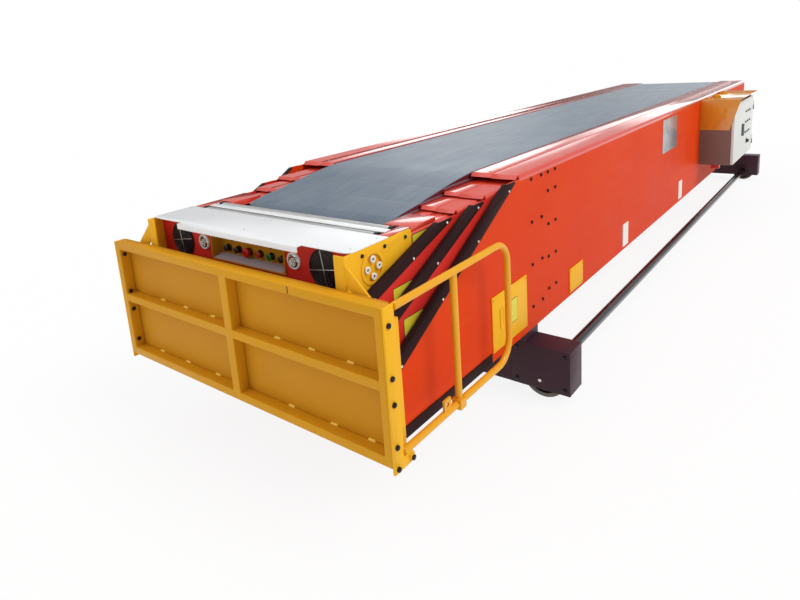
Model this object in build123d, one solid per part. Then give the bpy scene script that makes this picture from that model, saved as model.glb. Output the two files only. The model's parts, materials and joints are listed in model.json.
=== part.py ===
from build123d import *
import os
from collections import namedtuple
from math import hypot

os.makedirs("parts", exist_ok=True)

# Running gear, millimetres
WHEELBASE = 5030.0
TRACK_MARGIN = 61.0
WHEEL_RADIUS = 100.0
WHEEL_WIDTH = 60.0
SHAFT_RADIUS = 25.0
IDLER_PIN_RADIUS = 20.0
RUNNING_FIT = 0.05
SHAFT_END_GAP = 1.0
HOUSING_HALF_LENGTH = 138.0
HOUSING_HALF_WIDTH = 66.0
HOUSING_WALL = 6.0
HOUSING_SKIRT = 44.0
HOUSING_HEADROOM = 62.0
BEAM_HEIGHT = 47.0
BEAM_HALF_WIDTH = 66.0
WHEEL_RIM = 22.0
WHEEL_RECESS = 12.0
WHEEL_HUB_RADIUS = 42.0

# Base box
BASE_HALF_WIDTH = 634.0
BASE_HEIGHT = 722.0
FRONT_OVERHANG = 990.0
REAR_OVERHANG = 160.0
WALL = 6.0
FLOOR = 6.0
SHEET = 4.0
BEND_RADIUS = 14.0
SEAM_DROP = 26.0
LIP_HEIGHT = 14.0
LIP_INSET = 6.0
LIP_CLEARANCE = 2.0
STRIP_THICKNESS = 5.0
STRIP_CLEARANCE = 6.0
STRIP_END_DROP = 10.0
SKIRT_HEIGHT = 43.0
SKIRT_LENGTH = 610.0

# Belt and its drums
BELT_HALF_WIDTH = 400.0
BED_MARGIN = 2.0
BELT = 4.0
BELT_CLEARANCE = 5.0
TAIL_DRUM_RADIUS = 60.0
HEAD_DRUM_RADIUS = 40.0
HEAD_DRUM_SETBACK = 104.0
DRUM_MARGIN = 10.0
RETURN_RUN = 100.0
TAIL_MARGIN = 20.0
WRAP_CLEARANCE = 8.0
REAR_PLATE_DROP = 20.0

# Nesting of the sliding sections
BOTTOM_STEP = 55.0
SLIDE_GAP = 0.3
RAIL_INSET = 40.0
RAIL_WIDTH = 60.0

# Head of the last section
HEAD_LENGTH = 347.0
HEAD_SET_FORWARD = 107.0
HEAD_RISE = 14.0
CHIN_RISE = 86.0
FLANGE_WIDTH = 45.0
PANEL_SETBACK = 64.0
TOP_PLATE = 4.0
TOP_PLATE_SETBACK = 25.0
LIP_HALF_WIDTH = 337.0
LIP_REACH = 19.0
LIP_DROP = 18.0
TRANSFER_RADIUS = 21.0
TRANSFER_MARGIN = 70.0
TRANSFER_FRONT = 246.0
TRANSFER_PITCH = 83.0
TRANSFER_PROUD = 2.0
TRANSFER_GAP = 3.0
PAD_LENGTH = 150.0
# Free width beside the belt and width of the pad, kept in this proportion on the cover
PAD_MARGIN = 28.0
PAD_WIDTH = 112.0
STUB_RADIUS = 6.0
LAMP_RADIUS = 31.0
LAMP_LENS_RADIUS = 22.0
LAMP_RIM_DEPTH = 7.0
LAMP_DROP = 74.0
GRILLE_RADIUS = 70.0
GRILLE_DROP = 82.0
GRILLE_WIRE = 3.0
GRILLE_RIM = 5.0
FITTING_DEPTH = 12.0
# Free widths beside the control box, lamp and guard, kept in this proportion across the panel
LAMP_X = 15.0
GRILLE_X = 45.0
PANEL_EDGE_X = 70.0
BOX_HALF_WIDTH = 208.0
BOX_HEIGHT = 109.0
BOX_DEPTH = 42.0
BOX_PROUD = 8.0
BOX_DROP = 135.0
BUTTON_RADIUS = 14.0
BUTTON_LENGTH = 25.0
BUTTON_PITCH = 62.0
BUTTON_COUNT = 6
BUTTON_RISE = 40.0
BEARING_HOLE_RADIUS = 46.0
BEARING_DROP = 74.0
BEARING_GAP = 3.0
HUB_MARGIN = 12.0
HUB_DEPTH = 30.0
HUB_BOLT_REACH = 29.0
HUB_BOLT_RADIUS = 8.5
HEAD_AXLE_RADIUS = 15.0

# Folding platform
PLATFORM_MARGIN = 32.0
PLATFORM_HEIGHT = 536.0
PLATFORM_DEPTH = 50.0
PLATFORM_GAP = 12.0
PLATFORM_RISE = 18.0
SIDE_PLATE = 8.0
RIB = 40.0
END_RIB = 28.0
CROSS_RAIL = 32.0
MID_RAIL_RISE = 271.0
LOW_RAIL_RISE = 21.0
PLATFORM_SHEET = 6.0
PLATFORM_SHEET_GAP = 1.0
PIVOT_SETBACK = 34.0
PIVOT_RISE = 19.0
PIN_RADIUS = 10.0
POST = 45.0
POST_MARGIN = 26.0
STAY_WIDTH = 48.0
STAY_DROP = 42.0
STAY_CORNER = 19.0
TUBE_RADIUS = 12.5
RAIL_LOOP_LENGTH = 694.0
RAIL_LOOP_LOW_RISE = 53.0
RAIL_LOOP_TOP_DROP = 11.0
RAIL_POST_SETBACK = 322.0
EYE = 8.0
EYE_LENGTH = 40.0
EYE_HEIGHT = 50.0
EYE_SETBACK = 75.0
EYE_HOLE_RADIUS = 9.0
FOOT = 36.0
TOP_BEND = 80.0
LOW_BEND = 90.0

# Control cabinet on the right side
CABINET_FROM_REAR = 2010.0
CABINET_LENGTH = 880.0
CABINET_DEPTH = 228.0
CABINET_RISE = 178.0
CABINET_HEIGHT = 513.0
CABINET_WALL = 4.0
DOOR = 20.0
DOOR_GAP = 2.0
DOOR_MARGIN = 5.0
DOOR_TOP_MARGIN = 25.0
HINGE_RADIUS = 7.0
HINGE_LEAF = 40.0
HINGE_RISE = 87.0
HINGE_ARM = 20.0
HANDLE_SETBACK = 335.0
HANDLE_WIDTH = 18.0
HANDLE_HEIGHT = 100.0
HANDLE_DEPTH = 16.0
TRAY_RISE = 287.0
TRAY_EDGE = 22.0
TRAY_REACH = 62.0
TRAY_FOOT = 12.0
TRAY_SHELF = 28.0
TRAY_REAR_GAP = 45.0

# Overshoot of a cut past the faces that it goes through
CUT = 1.0

# Levels and stations worked out from the sizes above
AXLE_Z = WHEEL_RADIUS
HOUSING_BOTTOM = AXLE_Z - HOUSING_SKIRT
HOUSING_TOP = AXLE_Z + WHEEL_RADIUS + HOUSING_HEADROOM
BASE_BOTTOM = HOUSING_TOP + BEAM_HEIGHT
BASE_TOP = BASE_BOTTOM + BASE_HEIGHT
WHEEL_Y = WHEELBASE / 2
NOSE_Y = -WHEEL_Y - FRONT_OVERHANG
REAR_Y = WHEEL_Y + REAR_OVERHANG
HEAD_FRONT = NOSE_Y - HEAD_SET_FORWARD
HEAD_REAR = HEAD_FRONT + HEAD_LENGTH
PANEL_Y = HEAD_FRONT + PANEL_SETBACK
HEAD_DRUM_Y = HEAD_REAR + HEAD_DRUM_SETBACK
TAIL_DRUM_Y = REAR_Y - TAIL_DRUM_RADIUS - TAIL_MARGIN
HALF_TRACK = BASE_HALF_WIDTH + TRACK_MARGIN
BED_HALF_WIDTH = BELT_HALF_WIDTH + BED_MARGIN
POST_OUTER = BASE_HALF_WIDTH + POST_MARGIN + POST
PLATFORM_HALF_WIDTH = POST_OUTER + PLATFORM_MARGIN
PLATFORM_BOTTOM = BASE_BOTTOM + PLATFORM_RISE
CABINET_FRONT = REAR_Y - CABINET_FROM_REAR
CABINET_BOTTOM = BASE_BOTTOM + CABINET_RISE
CABINET_TOP = CABINET_BOTTOM + CABINET_HEIGHT
ROLLER_FRONT_Y = HEAD_FRONT + TRANSFER_FRONT
ROLLER_REAR_Y = ROLLER_FRONT_Y + TRANSFER_PITCH

Section = namedtuple(
    "Section",
    "name narrower cover_drop bed_rise nose_behind edge_slope edge_top strip cover_front apron_end tail_gap",
)
# Lengths along the machine are measured back from the base nose
SECTIONS = [
    Section("base", 0.0, 0.0, -6.0, 0.0, 0.54, 818.0, 35.0, 892.0, 670.0, 0.0),
    Section("stage1", 32.0, 38.0, 8.0, -40.0, 0.45, 605.0, 37.0, 667.0, 503.0, 225.0),
    Section("stage2", 60.0, 58.0, 4.0, -40.0, 0.327, 419.0, 35.0, 500.0, 341.0, 245.0),
    Section("stage3", 88.0, 78.0, 3.0, 0.0, 0.0, 0.0, 0.0, 0.0, 0.0, 265.0),
]


def box(x0, x1, y0, y1, z0, z1):
    """Block between two corners."""
    centre = Pos((x0 + x1) / 2, (y0 + y1) / 2, (z0 + z1) / 2)
    return centre * Box(x1 - x0, y1 - y0, z1 - z0)


def slab_x(points, x0, x1):
    """Outline in y and z given a thickness across the machine."""
    face = Plane.YZ * make_face(Polyline(*points, close=True))
    return Pos(x0, 0, 0) * extrude(face, amount=x1 - x0)


def slab_y(points, y0, y1, radii=None):
    """Outline in x and z given a length along the machine."""
    if radii:
        wire = FilletPolyline(*points, radius=radii, close=True)
    else:
        wire = Polyline(*points, close=True)
    face = Plane.XZ * make_face(wire)
    return Pos(0, y1, 0) * extrude(face, amount=y1 - y0)


def rod_x(x0, x1, y, z, radius):
    """Round bar across the machine."""
    return Pos((x0 + x1) / 2, y, z) * Rot(0, 90, 0) * Cylinder(radius, x1 - x0)


def rod_y(y0, y1, x, z, radius):
    """Round bar along the machine."""
    return Pos(x, (y0 + y1) / 2, z) * Rot(90, 0, 0) * Cylinder(radius, y1 - y0)


def rod_z(z0, z1, x, y, radius):
    """Upright round bar."""
    return Pos(x, y, (z0 + z1) / 2) * Cylinder(radius, z1 - z0)


def both(solid):
    """A piece and its mirror image on the other side."""
    return [solid, mirror(solid, about=Plane.YZ)]


def node(name, *pieces):
    """Write one named piece, or several like pieces together."""
    solids = [solid for piece in pieces for solid in piece.solids()]
    shape = solids[0] if len(solids) == 1 else Compound(solids)
    export_step(shape, f"parts/{name}.step")


def half_width(index):
    """Outer half width of one section."""
    return BASE_HALF_WIDTH - SECTIONS[index].narrower


def bottom(index):
    """Underside of one section."""
    return BASE_BOTTOM + BOTTOM_STEP * index


def cover_top(index):
    """Top of the side covers of one section."""
    return BASE_TOP - SECTIONS[index].cover_drop


def bed_top(index):
    """Top of the belt bed of one section."""
    return cover_top(index) + SECTIONS[index].bed_rise


def tail(index):
    """Rear end of one section."""
    return REAR_Y - SECTIONS[index].tail_gap


def edge_y(index, z):
    """Station of the sloped front edge at one height."""
    section = SECTIONS[index]
    return NOSE_Y + section.edge_top + (z - cover_top(index)) / section.edge_slope


def edge_z(index, y):
    """Height of the sloped front edge at one station."""
    section = SECTIONS[index]
    return cover_top(index) + section.edge_slope * (y - NOSE_Y - section.edge_top)


LAST = len(SECTIONS) - 1
HEAD_Z = cover_top(LAST) + HEAD_RISE
HEAD_OUTER = half_width(LAST)
HEAD_INNER = HEAD_OUTER - WALL
TRANSFER_HALF_LENGTH = HEAD_INNER - TRANSFER_MARGIN


def walls(index):
    """Side walls with a sloped front, or a plain front on the last section."""
    section = SECTIONS[index]
    seam = cover_top(index) - SEAM_DROP
    low = bottom(index)
    rear = tail(index)
    nose = NOSE_Y + section.nose_behind
    outline = [(rear, low), (rear, seam)]
    if section.edge_slope:
        front = NOSE_Y + section.cover_front
        shoulder = cover_top(index) - LIP_HEIGHT - LIP_CLEARANCE
        outline += [(front, seam), (front, shoulder), (edge_y(index, shoulder), shoulder)]
        outline += [(nose, edge_z(index, nose)), (nose, low)]
    else:
        outline += [(HEAD_REAR, seam), (HEAD_REAR, low)]
    outer = half_width(index)
    return both(slab_x(outline, outer - WALL, outer))


def floor(index):
    """Floor plate with the two rails that the next section slides on."""
    inner = half_width(index) - WALL
    low = bottom(index)
    nose = NOSE_Y + SECTIONS[index].nose_behind
    if index == LAST:
        return box(-inner, inner, PANEL_Y + WALL, tail(index), low, low + FLOOR)
    plate = box(-inner, inner, nose, tail(index), low, low + FLOOR)
    rail_outer = HEAD_INNER - RAIL_INSET
    rail_top = bottom(index + 1) - SLIDE_GAP
    rail = box(rail_outer - RAIL_WIDTH, rail_outer, nose, tail(index) - WALL, low + FLOOR, rail_top)
    for piece in both(rail):
        plate = plate + piece
    return plate


def top(index):
    """Belt bed and side covers of one section, bent from one sheet."""
    section = SECTIONS[index]
    outer = half_width(index)
    high = cover_top(index)
    bed = bed_top(index)
    seam = high - SEAM_DROP
    under = BED_HALF_WIDTH + (SHEET if section.bed_rise < 0 else -SHEET)
    upper = [(outer, seam), (outer, high), (BED_HALF_WIDTH, high), (BED_HALF_WIDTH, bed)]
    lower = [(outer - SHEET, seam), (outer - SHEET, high - SHEET), (under, high - SHEET), (under, bed - SHEET)]
    outline = upper + [(-x, z) for x, z in reversed(upper)]
    outline += [(-x, z) for x, z in lower] + list(reversed(lower))
    bends = {(outer, high): BEND_RADIUS, (outer - SHEET, high - SHEET): BEND_RADIUS - SHEET}
    radii = [bends.get((abs(x), z), 0.0) for x, z in outline]
    if not section.edge_slope:
        sheet = slab_y(outline, HEAD_REAR, tail(index), radii)
        pad_front = max(ROLLER_REAR_Y + TRANSFER_RADIUS + TRANSFER_GAP, HEAD_REAR)
        cover_width = HEAD_INNER - BELT_HALF_WIDTH
        pad_in = BELT_HALF_WIDTH + cover_width * PAD_MARGIN / (PAD_MARGIN + PAD_WIDTH)
        pad = box(pad_in, HEAD_INNER, pad_front, pad_front + PAD_LENGTH, high, HEAD_Z)
        for piece in both(pad):
            sheet = sheet + piece
        roller_half = TRANSFER_HALF_LENGTH + TRANSFER_GAP
        sheet = sheet - box(-roller_half, roller_half, HEAD_REAR - CUT, pad_front, seam, HEAD_Z + CUT)
        drum_end = HEAD_DRUM_Y + HEAD_DRUM_RADIUS + BELT + WRAP_CLEARANCE
        gap_half = BELT_HALF_WIDTH + DRUM_MARGIN + TRANSFER_GAP
        return sheet - box(-gap_half, gap_half, HEAD_REAR - CUT, drum_end, seam, HEAD_Z)
    front = NOSE_Y + section.cover_front
    rear = tail(index)
    sheet = slab_y(outline, front, rear, radii)
    lip_inner = BED_HALF_WIDTH + LIP_INSET
    lip = box(lip_inner, outer - SHEET / 2, front, front + SHEET, high - LIP_HEIGHT, high - BEND_RADIUS / 2)
    for piece in both(lip):
        sheet = sheet + piece
    if index == 0:
        gap_start = TAIL_DRUM_Y - TAIL_DRUM_RADIUS - BELT - WRAP_CLEARANCE
        gap_half = BELT_HALF_WIDTH + DRUM_MARGIN + TRANSFER_GAP
        sheet = sheet - box(-gap_half, gap_half, gap_start, rear + CUT, seam - CUT, BASE_TOP + CUT)
    return sheet


def strips(index):
    """Dark angle strips round the sloped front edges, and the skirt strips of the base."""
    section = SECTIONS[index]
    high = cover_top(index) - LIP_HEIGHT - LIP_CLEARANCE
    nose = NOSE_Y + section.nose_behind
    steep = hypot(1.0, section.edge_slope)
    drop = steep * section.strip
    lift = steep * STRIP_THICKNESS
    foot = edge_z(index, nose)
    top_y = edge_y(index, high)
    outer = half_width(index)
    inner = half_width(index + 1) + STRIP_THICKNESS + STRIP_CLEARANCE
    end_z = high - STRIP_END_DROP
    end_y = edge_y(index, end_z + drop)
    face = [(nose, foot), (top_y, high), (end_y, high), (end_y, end_z), (nose, foot - drop)]
    fold = [(nose, foot), (nose, foot + lift), (top_y - lift / section.edge_slope, high), (top_y, high)]
    angle = slab_x(face, outer, outer + STRIP_THICKNESS)
    angle = angle + slab_x(fold, inner, outer + STRIP_THICKNESS)
    pieces = both(angle)
    if index == 0:
        low = bottom(index)
        pieces += both(box(outer, outer + STRIP_THICKNESS, nose, nose + SKIRT_LENGTH, low, low + SKIRT_HEIGHT))
    return pieces


def drum_wrap(y, z, radius, forward):
    """Half turn of belt round a drum, with a short return run below it."""
    ring = rod_x(-BELT_HALF_WIDTH, BELT_HALF_WIDTH, y, z, radius + BELT)
    ring = ring - rod_x(-BELT_HALF_WIDTH - CUT, BELT_HALF_WIDTH + CUT, y, z, radius)
    reach = radius + BELT + CUT
    across = BELT_HALF_WIDTH + CUT
    if forward:
        ring = ring - box(-across, across, y, y + reach, z - reach, z + reach)
        run = box(-BELT_HALF_WIDTH, BELT_HALF_WIDTH, y, y + RETURN_RUN, z - radius - BELT, z - radius)
    else:
        ring = ring - box(-across, across, y - reach, y, z - reach, z + reach)
        run = box(-BELT_HALF_WIDTH, BELT_HALF_WIDTH, y - RETURN_RUN, y, z - radius - BELT, z - radius)
    return ring + run


def belt(index):
    """Belt stretch on one section, sloped down at the front to the next one."""
    section = SECTIONS[index]
    low = bed_top(index)
    high = low + BELT
    if index == LAST:
        run = box(-BELT_HALF_WIDTH, BELT_HALF_WIDTH, HEAD_DRUM_Y, tail(index), low, high)
        return run + drum_wrap(HEAD_DRUM_Y, low - HEAD_DRUM_RADIUS, HEAD_DRUM_RADIUS, True)
    front = NOSE_Y + section.cover_front
    end = NOSE_Y + section.apron_end
    end_low = bed_top(index + 1) + BELT + BELT_CLEARANCE
    rear = TAIL_DRUM_Y if index == 0 else tail(index)
    outline = [(rear, low), (rear, high), (front, high), (end, end_low + BELT), (end, end_low), (front, low)]
    run = slab_x(outline, -BELT_HALF_WIDTH, BELT_HALF_WIDTH)
    if index == 0:
        run = run + drum_wrap(TAIL_DRUM_Y, low - TAIL_DRUM_RADIUS, TAIL_DRUM_RADIUS, False)
    return run


# The four telescoping sections
for index, section in enumerate(SECTIONS):
    node(f"{section.name}_walls", *walls(index))
    node(f"{section.name}_floor", floor(index))
    node(f"{section.name}_top", top(index))
    node(f"{section.name}_belt", belt(index))
    if section.edge_slope:
        node(f"{section.name}_edge_strips", *strips(index))

# Tail drum and rear end plate of the base
base_inner = BASE_HALF_WIDTH - WALL
drum_half = BELT_HALF_WIDTH + DRUM_MARGIN
tail_drum_z = bed_top(0) - TAIL_DRUM_RADIUS
tail_drum = rod_x(-drum_half, drum_half, TAIL_DRUM_Y, tail_drum_z, TAIL_DRUM_RADIUS)
tail_drum = tail_drum + rod_x(-base_inner, base_inner, TAIL_DRUM_Y, tail_drum_z, SHAFT_RADIUS)
node("tail_drum", tail_drum)
plate_top = tail_drum_z - TAIL_DRUM_RADIUS - REAR_PLATE_DROP
node("base_rear_plate", box(-base_inner, base_inner, REAR_Y - WALL, REAR_Y, BASE_BOTTOM + FLOOR, plate_top))

# Access panels bolted on both sides of the base
Panel = namedtuple("Panel", "front length low height")
PANELS = [
    Panel(620.0, 308.0, 38.0, 238.0),
    Panel(1408.0, 172.0, 18.0, 125.0),
]
panel_solids = []
for panel in PANELS:
    start = NOSE_Y + panel.front
    low = BASE_BOTTOM + panel.low
    plate = box(
        BASE_HALF_WIDTH, BASE_HALF_WIDTH + STRIP_THICKNESS,
        start, start + panel.length, low, low + panel.height,
    )
    panel_solids += both(plate)
node("access_panels", *panel_solids)

# Cross beams and wheel housings under the base
beams = []
housings = []
idler_pins = []
for y in (-WHEEL_Y, WHEEL_Y):
    beam_half = HALF_TRACK - HOUSING_HALF_LENGTH
    front = y - BEAM_HALF_WIDTH
    back = y + BEAM_HALF_WIDTH
    beam = box(-beam_half, beam_half, front, back, HOUSING_BOTTOM, BASE_BOTTOM)
    beam = beam - box(
        -beam_half - CUT, beam_half + CUT,
        front + HOUSING_WALL, back - HOUSING_WALL, HOUSING_BOTTOM - CUT, HOUSING_TOP,
    )
    shoulder = box(-base_inner, base_inner, front, back, HOUSING_TOP, BASE_BOTTOM)
    beams.append(beam + shoulder)
    shell = box(
        HALF_TRACK - HOUSING_HALF_LENGTH, HALF_TRACK + HOUSING_HALF_LENGTH,
        y - HOUSING_HALF_WIDTH, y + HOUSING_HALF_WIDTH, HOUSING_BOTTOM, HOUSING_TOP,
    )
    hollow = box(
        HALF_TRACK - HOUSING_HALF_LENGTH + HOUSING_WALL, HALF_TRACK + HOUSING_HALF_LENGTH - HOUSING_WALL,
        y - HOUSING_HALF_WIDTH + HOUSING_WALL, y + HOUSING_HALF_WIDTH - HOUSING_WALL,
        HOUSING_BOTTOM - CUT, HOUSING_TOP - HOUSING_WALL,
    )
    right, left = both(shell - hollow)
    inboard = y + HOUSING_HALF_WIDTH if y < 0 else y - HOUSING_HALF_WIDTH
    through = HOUSING_WALL + CUT
    bore = rod_y(inboard - through, inboard + through, HALF_TRACK, AXLE_Z, SHAFT_RADIUS + RUNNING_FIT)
    housings += [right - bore, left]
    reach = HOUSING_HALF_WIDTH - HOUSING_WALL
    idler_pins.append(rod_y(y - reach, y + reach, -HALF_TRACK, AXLE_Z, IDLER_PIN_RADIUS))
node("cross_beams", *beams)
node("wheel_housings", *housings)
node("idler_pins", *idler_pins)

# Drive shaft along the right side and the four wheels
shaft_end = WHEEL_Y + HOUSING_HALF_WIDTH - HOUSING_WALL - SHAFT_END_GAP
node("drive_shaft", rod_y(-shaft_end, shaft_end, HALF_TRACK, AXLE_Z, SHAFT_RADIUS))
Wheel = namedtuple("Wheel", "name side end bore")
WHEELS = [
    Wheel("wheel_front_right", 1, -1, SHAFT_RADIUS),
    Wheel("wheel_rear_right", 1, 1, SHAFT_RADIUS),
    Wheel("wheel_front_left", -1, -1, IDLER_PIN_RADIUS + RUNNING_FIT),
    Wheel("wheel_rear_left", -1, 1, IDLER_PIN_RADIUS + RUNNING_FIT),
]
for wheel in WHEELS:
    x = wheel.side * HALF_TRACK
    y = wheel.end * WHEEL_Y
    half = WHEEL_WIDTH / 2
    disc = rod_y(y - half, y + half, x, AXLE_Z, WHEEL_RADIUS)
    for face in (y - half, y + half):
        dish = rod_y(face - WHEEL_RECESS, face + WHEEL_RECESS, x, AXLE_Z, WHEEL_RADIUS - WHEEL_RIM)
        hub = rod_y(face - WHEEL_RECESS - CUT, face + WHEEL_RECESS + CUT, x, AXLE_Z, WHEEL_HUB_RADIUS)
        disc = disc - (dish - hub)
    node(wheel.name, disc - rod_y(y - half - CUT, y + half + CUT, x, AXLE_Z, wheel.bore))

# Head side plates with their front flanges and bearing openings
head_low = bottom(LAST)
chin_z = head_low + CHIN_RISE
plate = slab_x(
    [(HEAD_REAR, head_low), (HEAD_REAR, HEAD_Z), (HEAD_FRONT, HEAD_Z), (HEAD_FRONT, chin_z), (PANEL_Y, head_low)],
    HEAD_INNER, HEAD_OUTER,
)
hub_radius = BEARING_HOLE_RADIUS + HUB_MARGIN
bearing_y = PANEL_Y + WALL + BEARING_GAP + hub_radius
bearing_z = HEAD_Z - BEARING_DROP
plate = plate - rod_x(HEAD_INNER - CUT, HEAD_OUTER + CUT, bearing_y, bearing_z, BEARING_HOLE_RADIUS)
flange = box(HEAD_OUTER - FLANGE_WIDTH, HEAD_INNER, HEAD_FRONT, HEAD_FRONT + WALL, chin_z, HEAD_Z)
node("head_side_plates", *both(plate + flange))
hub = rod_x(HEAD_INNER - HUB_DEPTH, HEAD_INNER, bearing_y, bearing_z, hub_radius)
for along, up in ((-1, 0), (1, 0), (0, -1), (0, 1)):
    bolt_y = bearing_y + along * HUB_BOLT_REACH
    bolt_z = bearing_z + up * HUB_BOLT_REACH
    hub = hub + rod_x(HEAD_INNER, HEAD_OUTER, bolt_y, bolt_z, HUB_BOLT_RADIUS)
node("head_bearings", *both(hub))

# Red front panel with its openings
box_low = HEAD_Z - BOX_DROP
box_high = box_low + BOX_HEIGHT
lamp_z = HEAD_Z - LAMP_DROP
grille_z = HEAD_Z - GRILLE_DROP
panel = box(-HEAD_INNER, HEAD_INNER, PANEL_Y, PANEL_Y + WALL, head_low, HEAD_Z)
panel = panel - box(-BOX_HALF_WIDTH, BOX_HALF_WIDTH, PANEL_Y - CUT, PANEL_Y + WALL + CUT, box_low, box_high)
node("head_front_panel", panel)

# Bright head plate with its lip, the strips and the transfer rollers
plate_front = HEAD_FRONT + TOP_PLATE_SETBACK
plate_rear = ROLLER_FRONT_Y - TRANSFER_RADIUS - TRANSFER_GAP
sheet = box(-HEAD_OUTER, HEAD_OUTER, plate_front, plate_rear, HEAD_Z, HEAD_Z + TOP_PLATE)
lip = box(-LIP_HALF_WIDTH, LIP_HALF_WIDTH, plate_front - LIP_REACH, plate_front, HEAD_Z, HEAD_Z + TOP_PLATE)
nose = box(
    -LIP_HALF_WIDTH, LIP_HALF_WIDTH,
    plate_front - LIP_REACH - TOP_PLATE, plate_front - LIP_REACH, HEAD_Z - LIP_DROP, HEAD_Z + TOP_PLATE,
)
middle = box(
    -HEAD_INNER, HEAD_INNER,
    ROLLER_FRONT_Y + TRANSFER_RADIUS + TRANSFER_GAP, ROLLER_REAR_Y - TRANSFER_RADIUS - TRANSFER_GAP,
    HEAD_Z - TOP_PLATE, HEAD_Z,
)
node("head_top_plate", sheet + lip + nose, middle)
rollers = []
for y in (ROLLER_FRONT_Y, ROLLER_REAR_Y):
    z = HEAD_Z + TRANSFER_PROUD - TRANSFER_RADIUS
    roller = rod_x(-TRANSFER_HALF_LENGTH, TRANSFER_HALF_LENGTH, y, z, TRANSFER_RADIUS)
    rollers.append(roller + rod_x(-HEAD_INNER, HEAD_INNER, y, z, STUB_RADIUS))
node("transfer_rollers", *rollers)
head_drum_z = bed_top(LAST) - HEAD_DRUM_RADIUS
head_drum = rod_x(-drum_half, drum_half, HEAD_DRUM_Y, head_drum_z, HEAD_DRUM_RADIUS)
node("head_drum", head_drum + rod_x(-HEAD_INNER, HEAD_INNER, HEAD_DRUM_Y, head_drum_z, HEAD_AXLE_RADIUS))

# Control box, its buttons, the lamps and the fan guards
shell = box(-BOX_HALF_WIDTH, BOX_HALF_WIDTH, PANEL_Y - BOX_PROUD, PANEL_Y + BOX_DEPTH, box_low, box_high)
hollow = box(
    -BOX_HALF_WIDTH + SHEET, BOX_HALF_WIDTH - SHEET,
    PANEL_Y - BOX_PROUD - CUT, PANEL_Y + BOX_DEPTH - SHEET, box_low + SHEET, box_high - SHEET,
)
node("control_box", shell - hollow)
buttons = []
for step in range(BUTTON_COUNT):
    x = BUTTON_PITCH * (step - (BUTTON_COUNT - 1) / 2)
    back = PANEL_Y + BOX_DEPTH - SHEET
    buttons.append(rod_y(back - BUTTON_LENGTH, back, x, box_low + BUTTON_RISE, BUTTON_RADIUS))
node("control_buttons", *buttons)
free = HEAD_INNER - BOX_HALF_WIDTH - 2 * LAMP_RADIUS - 2 * GRILLE_RADIUS
spread = free / (LAMP_X + GRILLE_X + PANEL_EDGE_X)
lamp_x = BOX_HALF_WIDTH + spread * LAMP_X + LAMP_RADIUS
grille_x = lamp_x + LAMP_RADIUS + spread * GRILLE_X + GRILLE_RADIUS
lamp = rod_y(PANEL_Y - LAMP_RIM_DEPTH, PANEL_Y, lamp_x, lamp_z, LAMP_RADIUS)
lamp = lamp + rod_y(PANEL_Y - FITTING_DEPTH, PANEL_Y, lamp_x, lamp_z, LAMP_LENS_RADIUS)
node("head_lamps", *both(lamp))
guard_front = PANEL_Y - FITTING_DEPTH
guard_back = PANEL_Y - SHEET
guard_inner = GRILLE_RADIUS - GRILLE_RIM
guard = rod_y(guard_front, PANEL_Y, grille_x, grille_z, GRILLE_RADIUS)
guard = guard - rod_y(guard_front - CUT, guard_back, grille_x, grille_z, guard_inner)
reach = GRILLE_RADIUS - GRILLE_RIM / 2
wire_front = guard_back - 2 * GRILLE_WIRE
guard = guard + box(
    grille_x - reach, grille_x + reach, wire_front, guard_back, grille_z - GRILLE_WIRE, grille_z + GRILLE_WIRE
)
guard = guard + box(
    grille_x - GRILLE_WIRE, grille_x + GRILLE_WIRE, wire_front, guard_back, grille_z - reach, grille_z + reach
)
node("fan_guards", *both(guard))

# Hangers that carry the folding platform from the head
platform_rear = HEAD_FRONT - PLATFORM_GAP
platform_front = platform_rear - PLATFORM_DEPTH
platform_top = PLATFORM_BOTTOM + PLATFORM_HEIGHT
pivot_y = platform_rear + PIVOT_SETBACK
pivot_z = PLATFORM_BOTTOM + PIVOT_RISE
post_inner = POST_OUTER - POST
post_front = pivot_y - POST / 2
post_rear = pivot_y + POST / 2
stay_top = HEAD_Z - STAY_DROP
stay_run = post_inner - HEAD_OUTER
stay_foot = stay_top - stay_run
post_top = stay_foot - STAY_CORNER
post = box(post_inner, POST_OUTER, post_front, post_rear, pivot_z, post_top)
post = post + rod_x(post_inner, POST_OUTER, pivot_y, pivot_z, POST / 2)
post = post + rod_x(POST_OUTER, PLATFORM_HALF_WIDTH + SIDE_PLATE, pivot_y, pivot_z, PIN_RADIUS)
stay_wire = [
    (HEAD_OUTER, stay_top - STAY_WIDTH),
    (HEAD_OUTER, stay_top + STAY_CORNER),
    (HEAD_OUTER + STAY_CORNER, stay_top),
    (POST_OUTER, post_top),
    (POST_OUTER, stay_foot - 2 * STAY_WIDTH),
    (post_inner, stay_foot - STAY_WIDTH),
]
stay = slab_y(stay_wire, post_front, post_front + SIDE_PLATE)
brace = box(HEAD_OUTER, post_inner, post_front, post_rear, post_top - 2 * POST, post_top - POST)
node("platform_hangers", *both(post + stay + brace))

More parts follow.
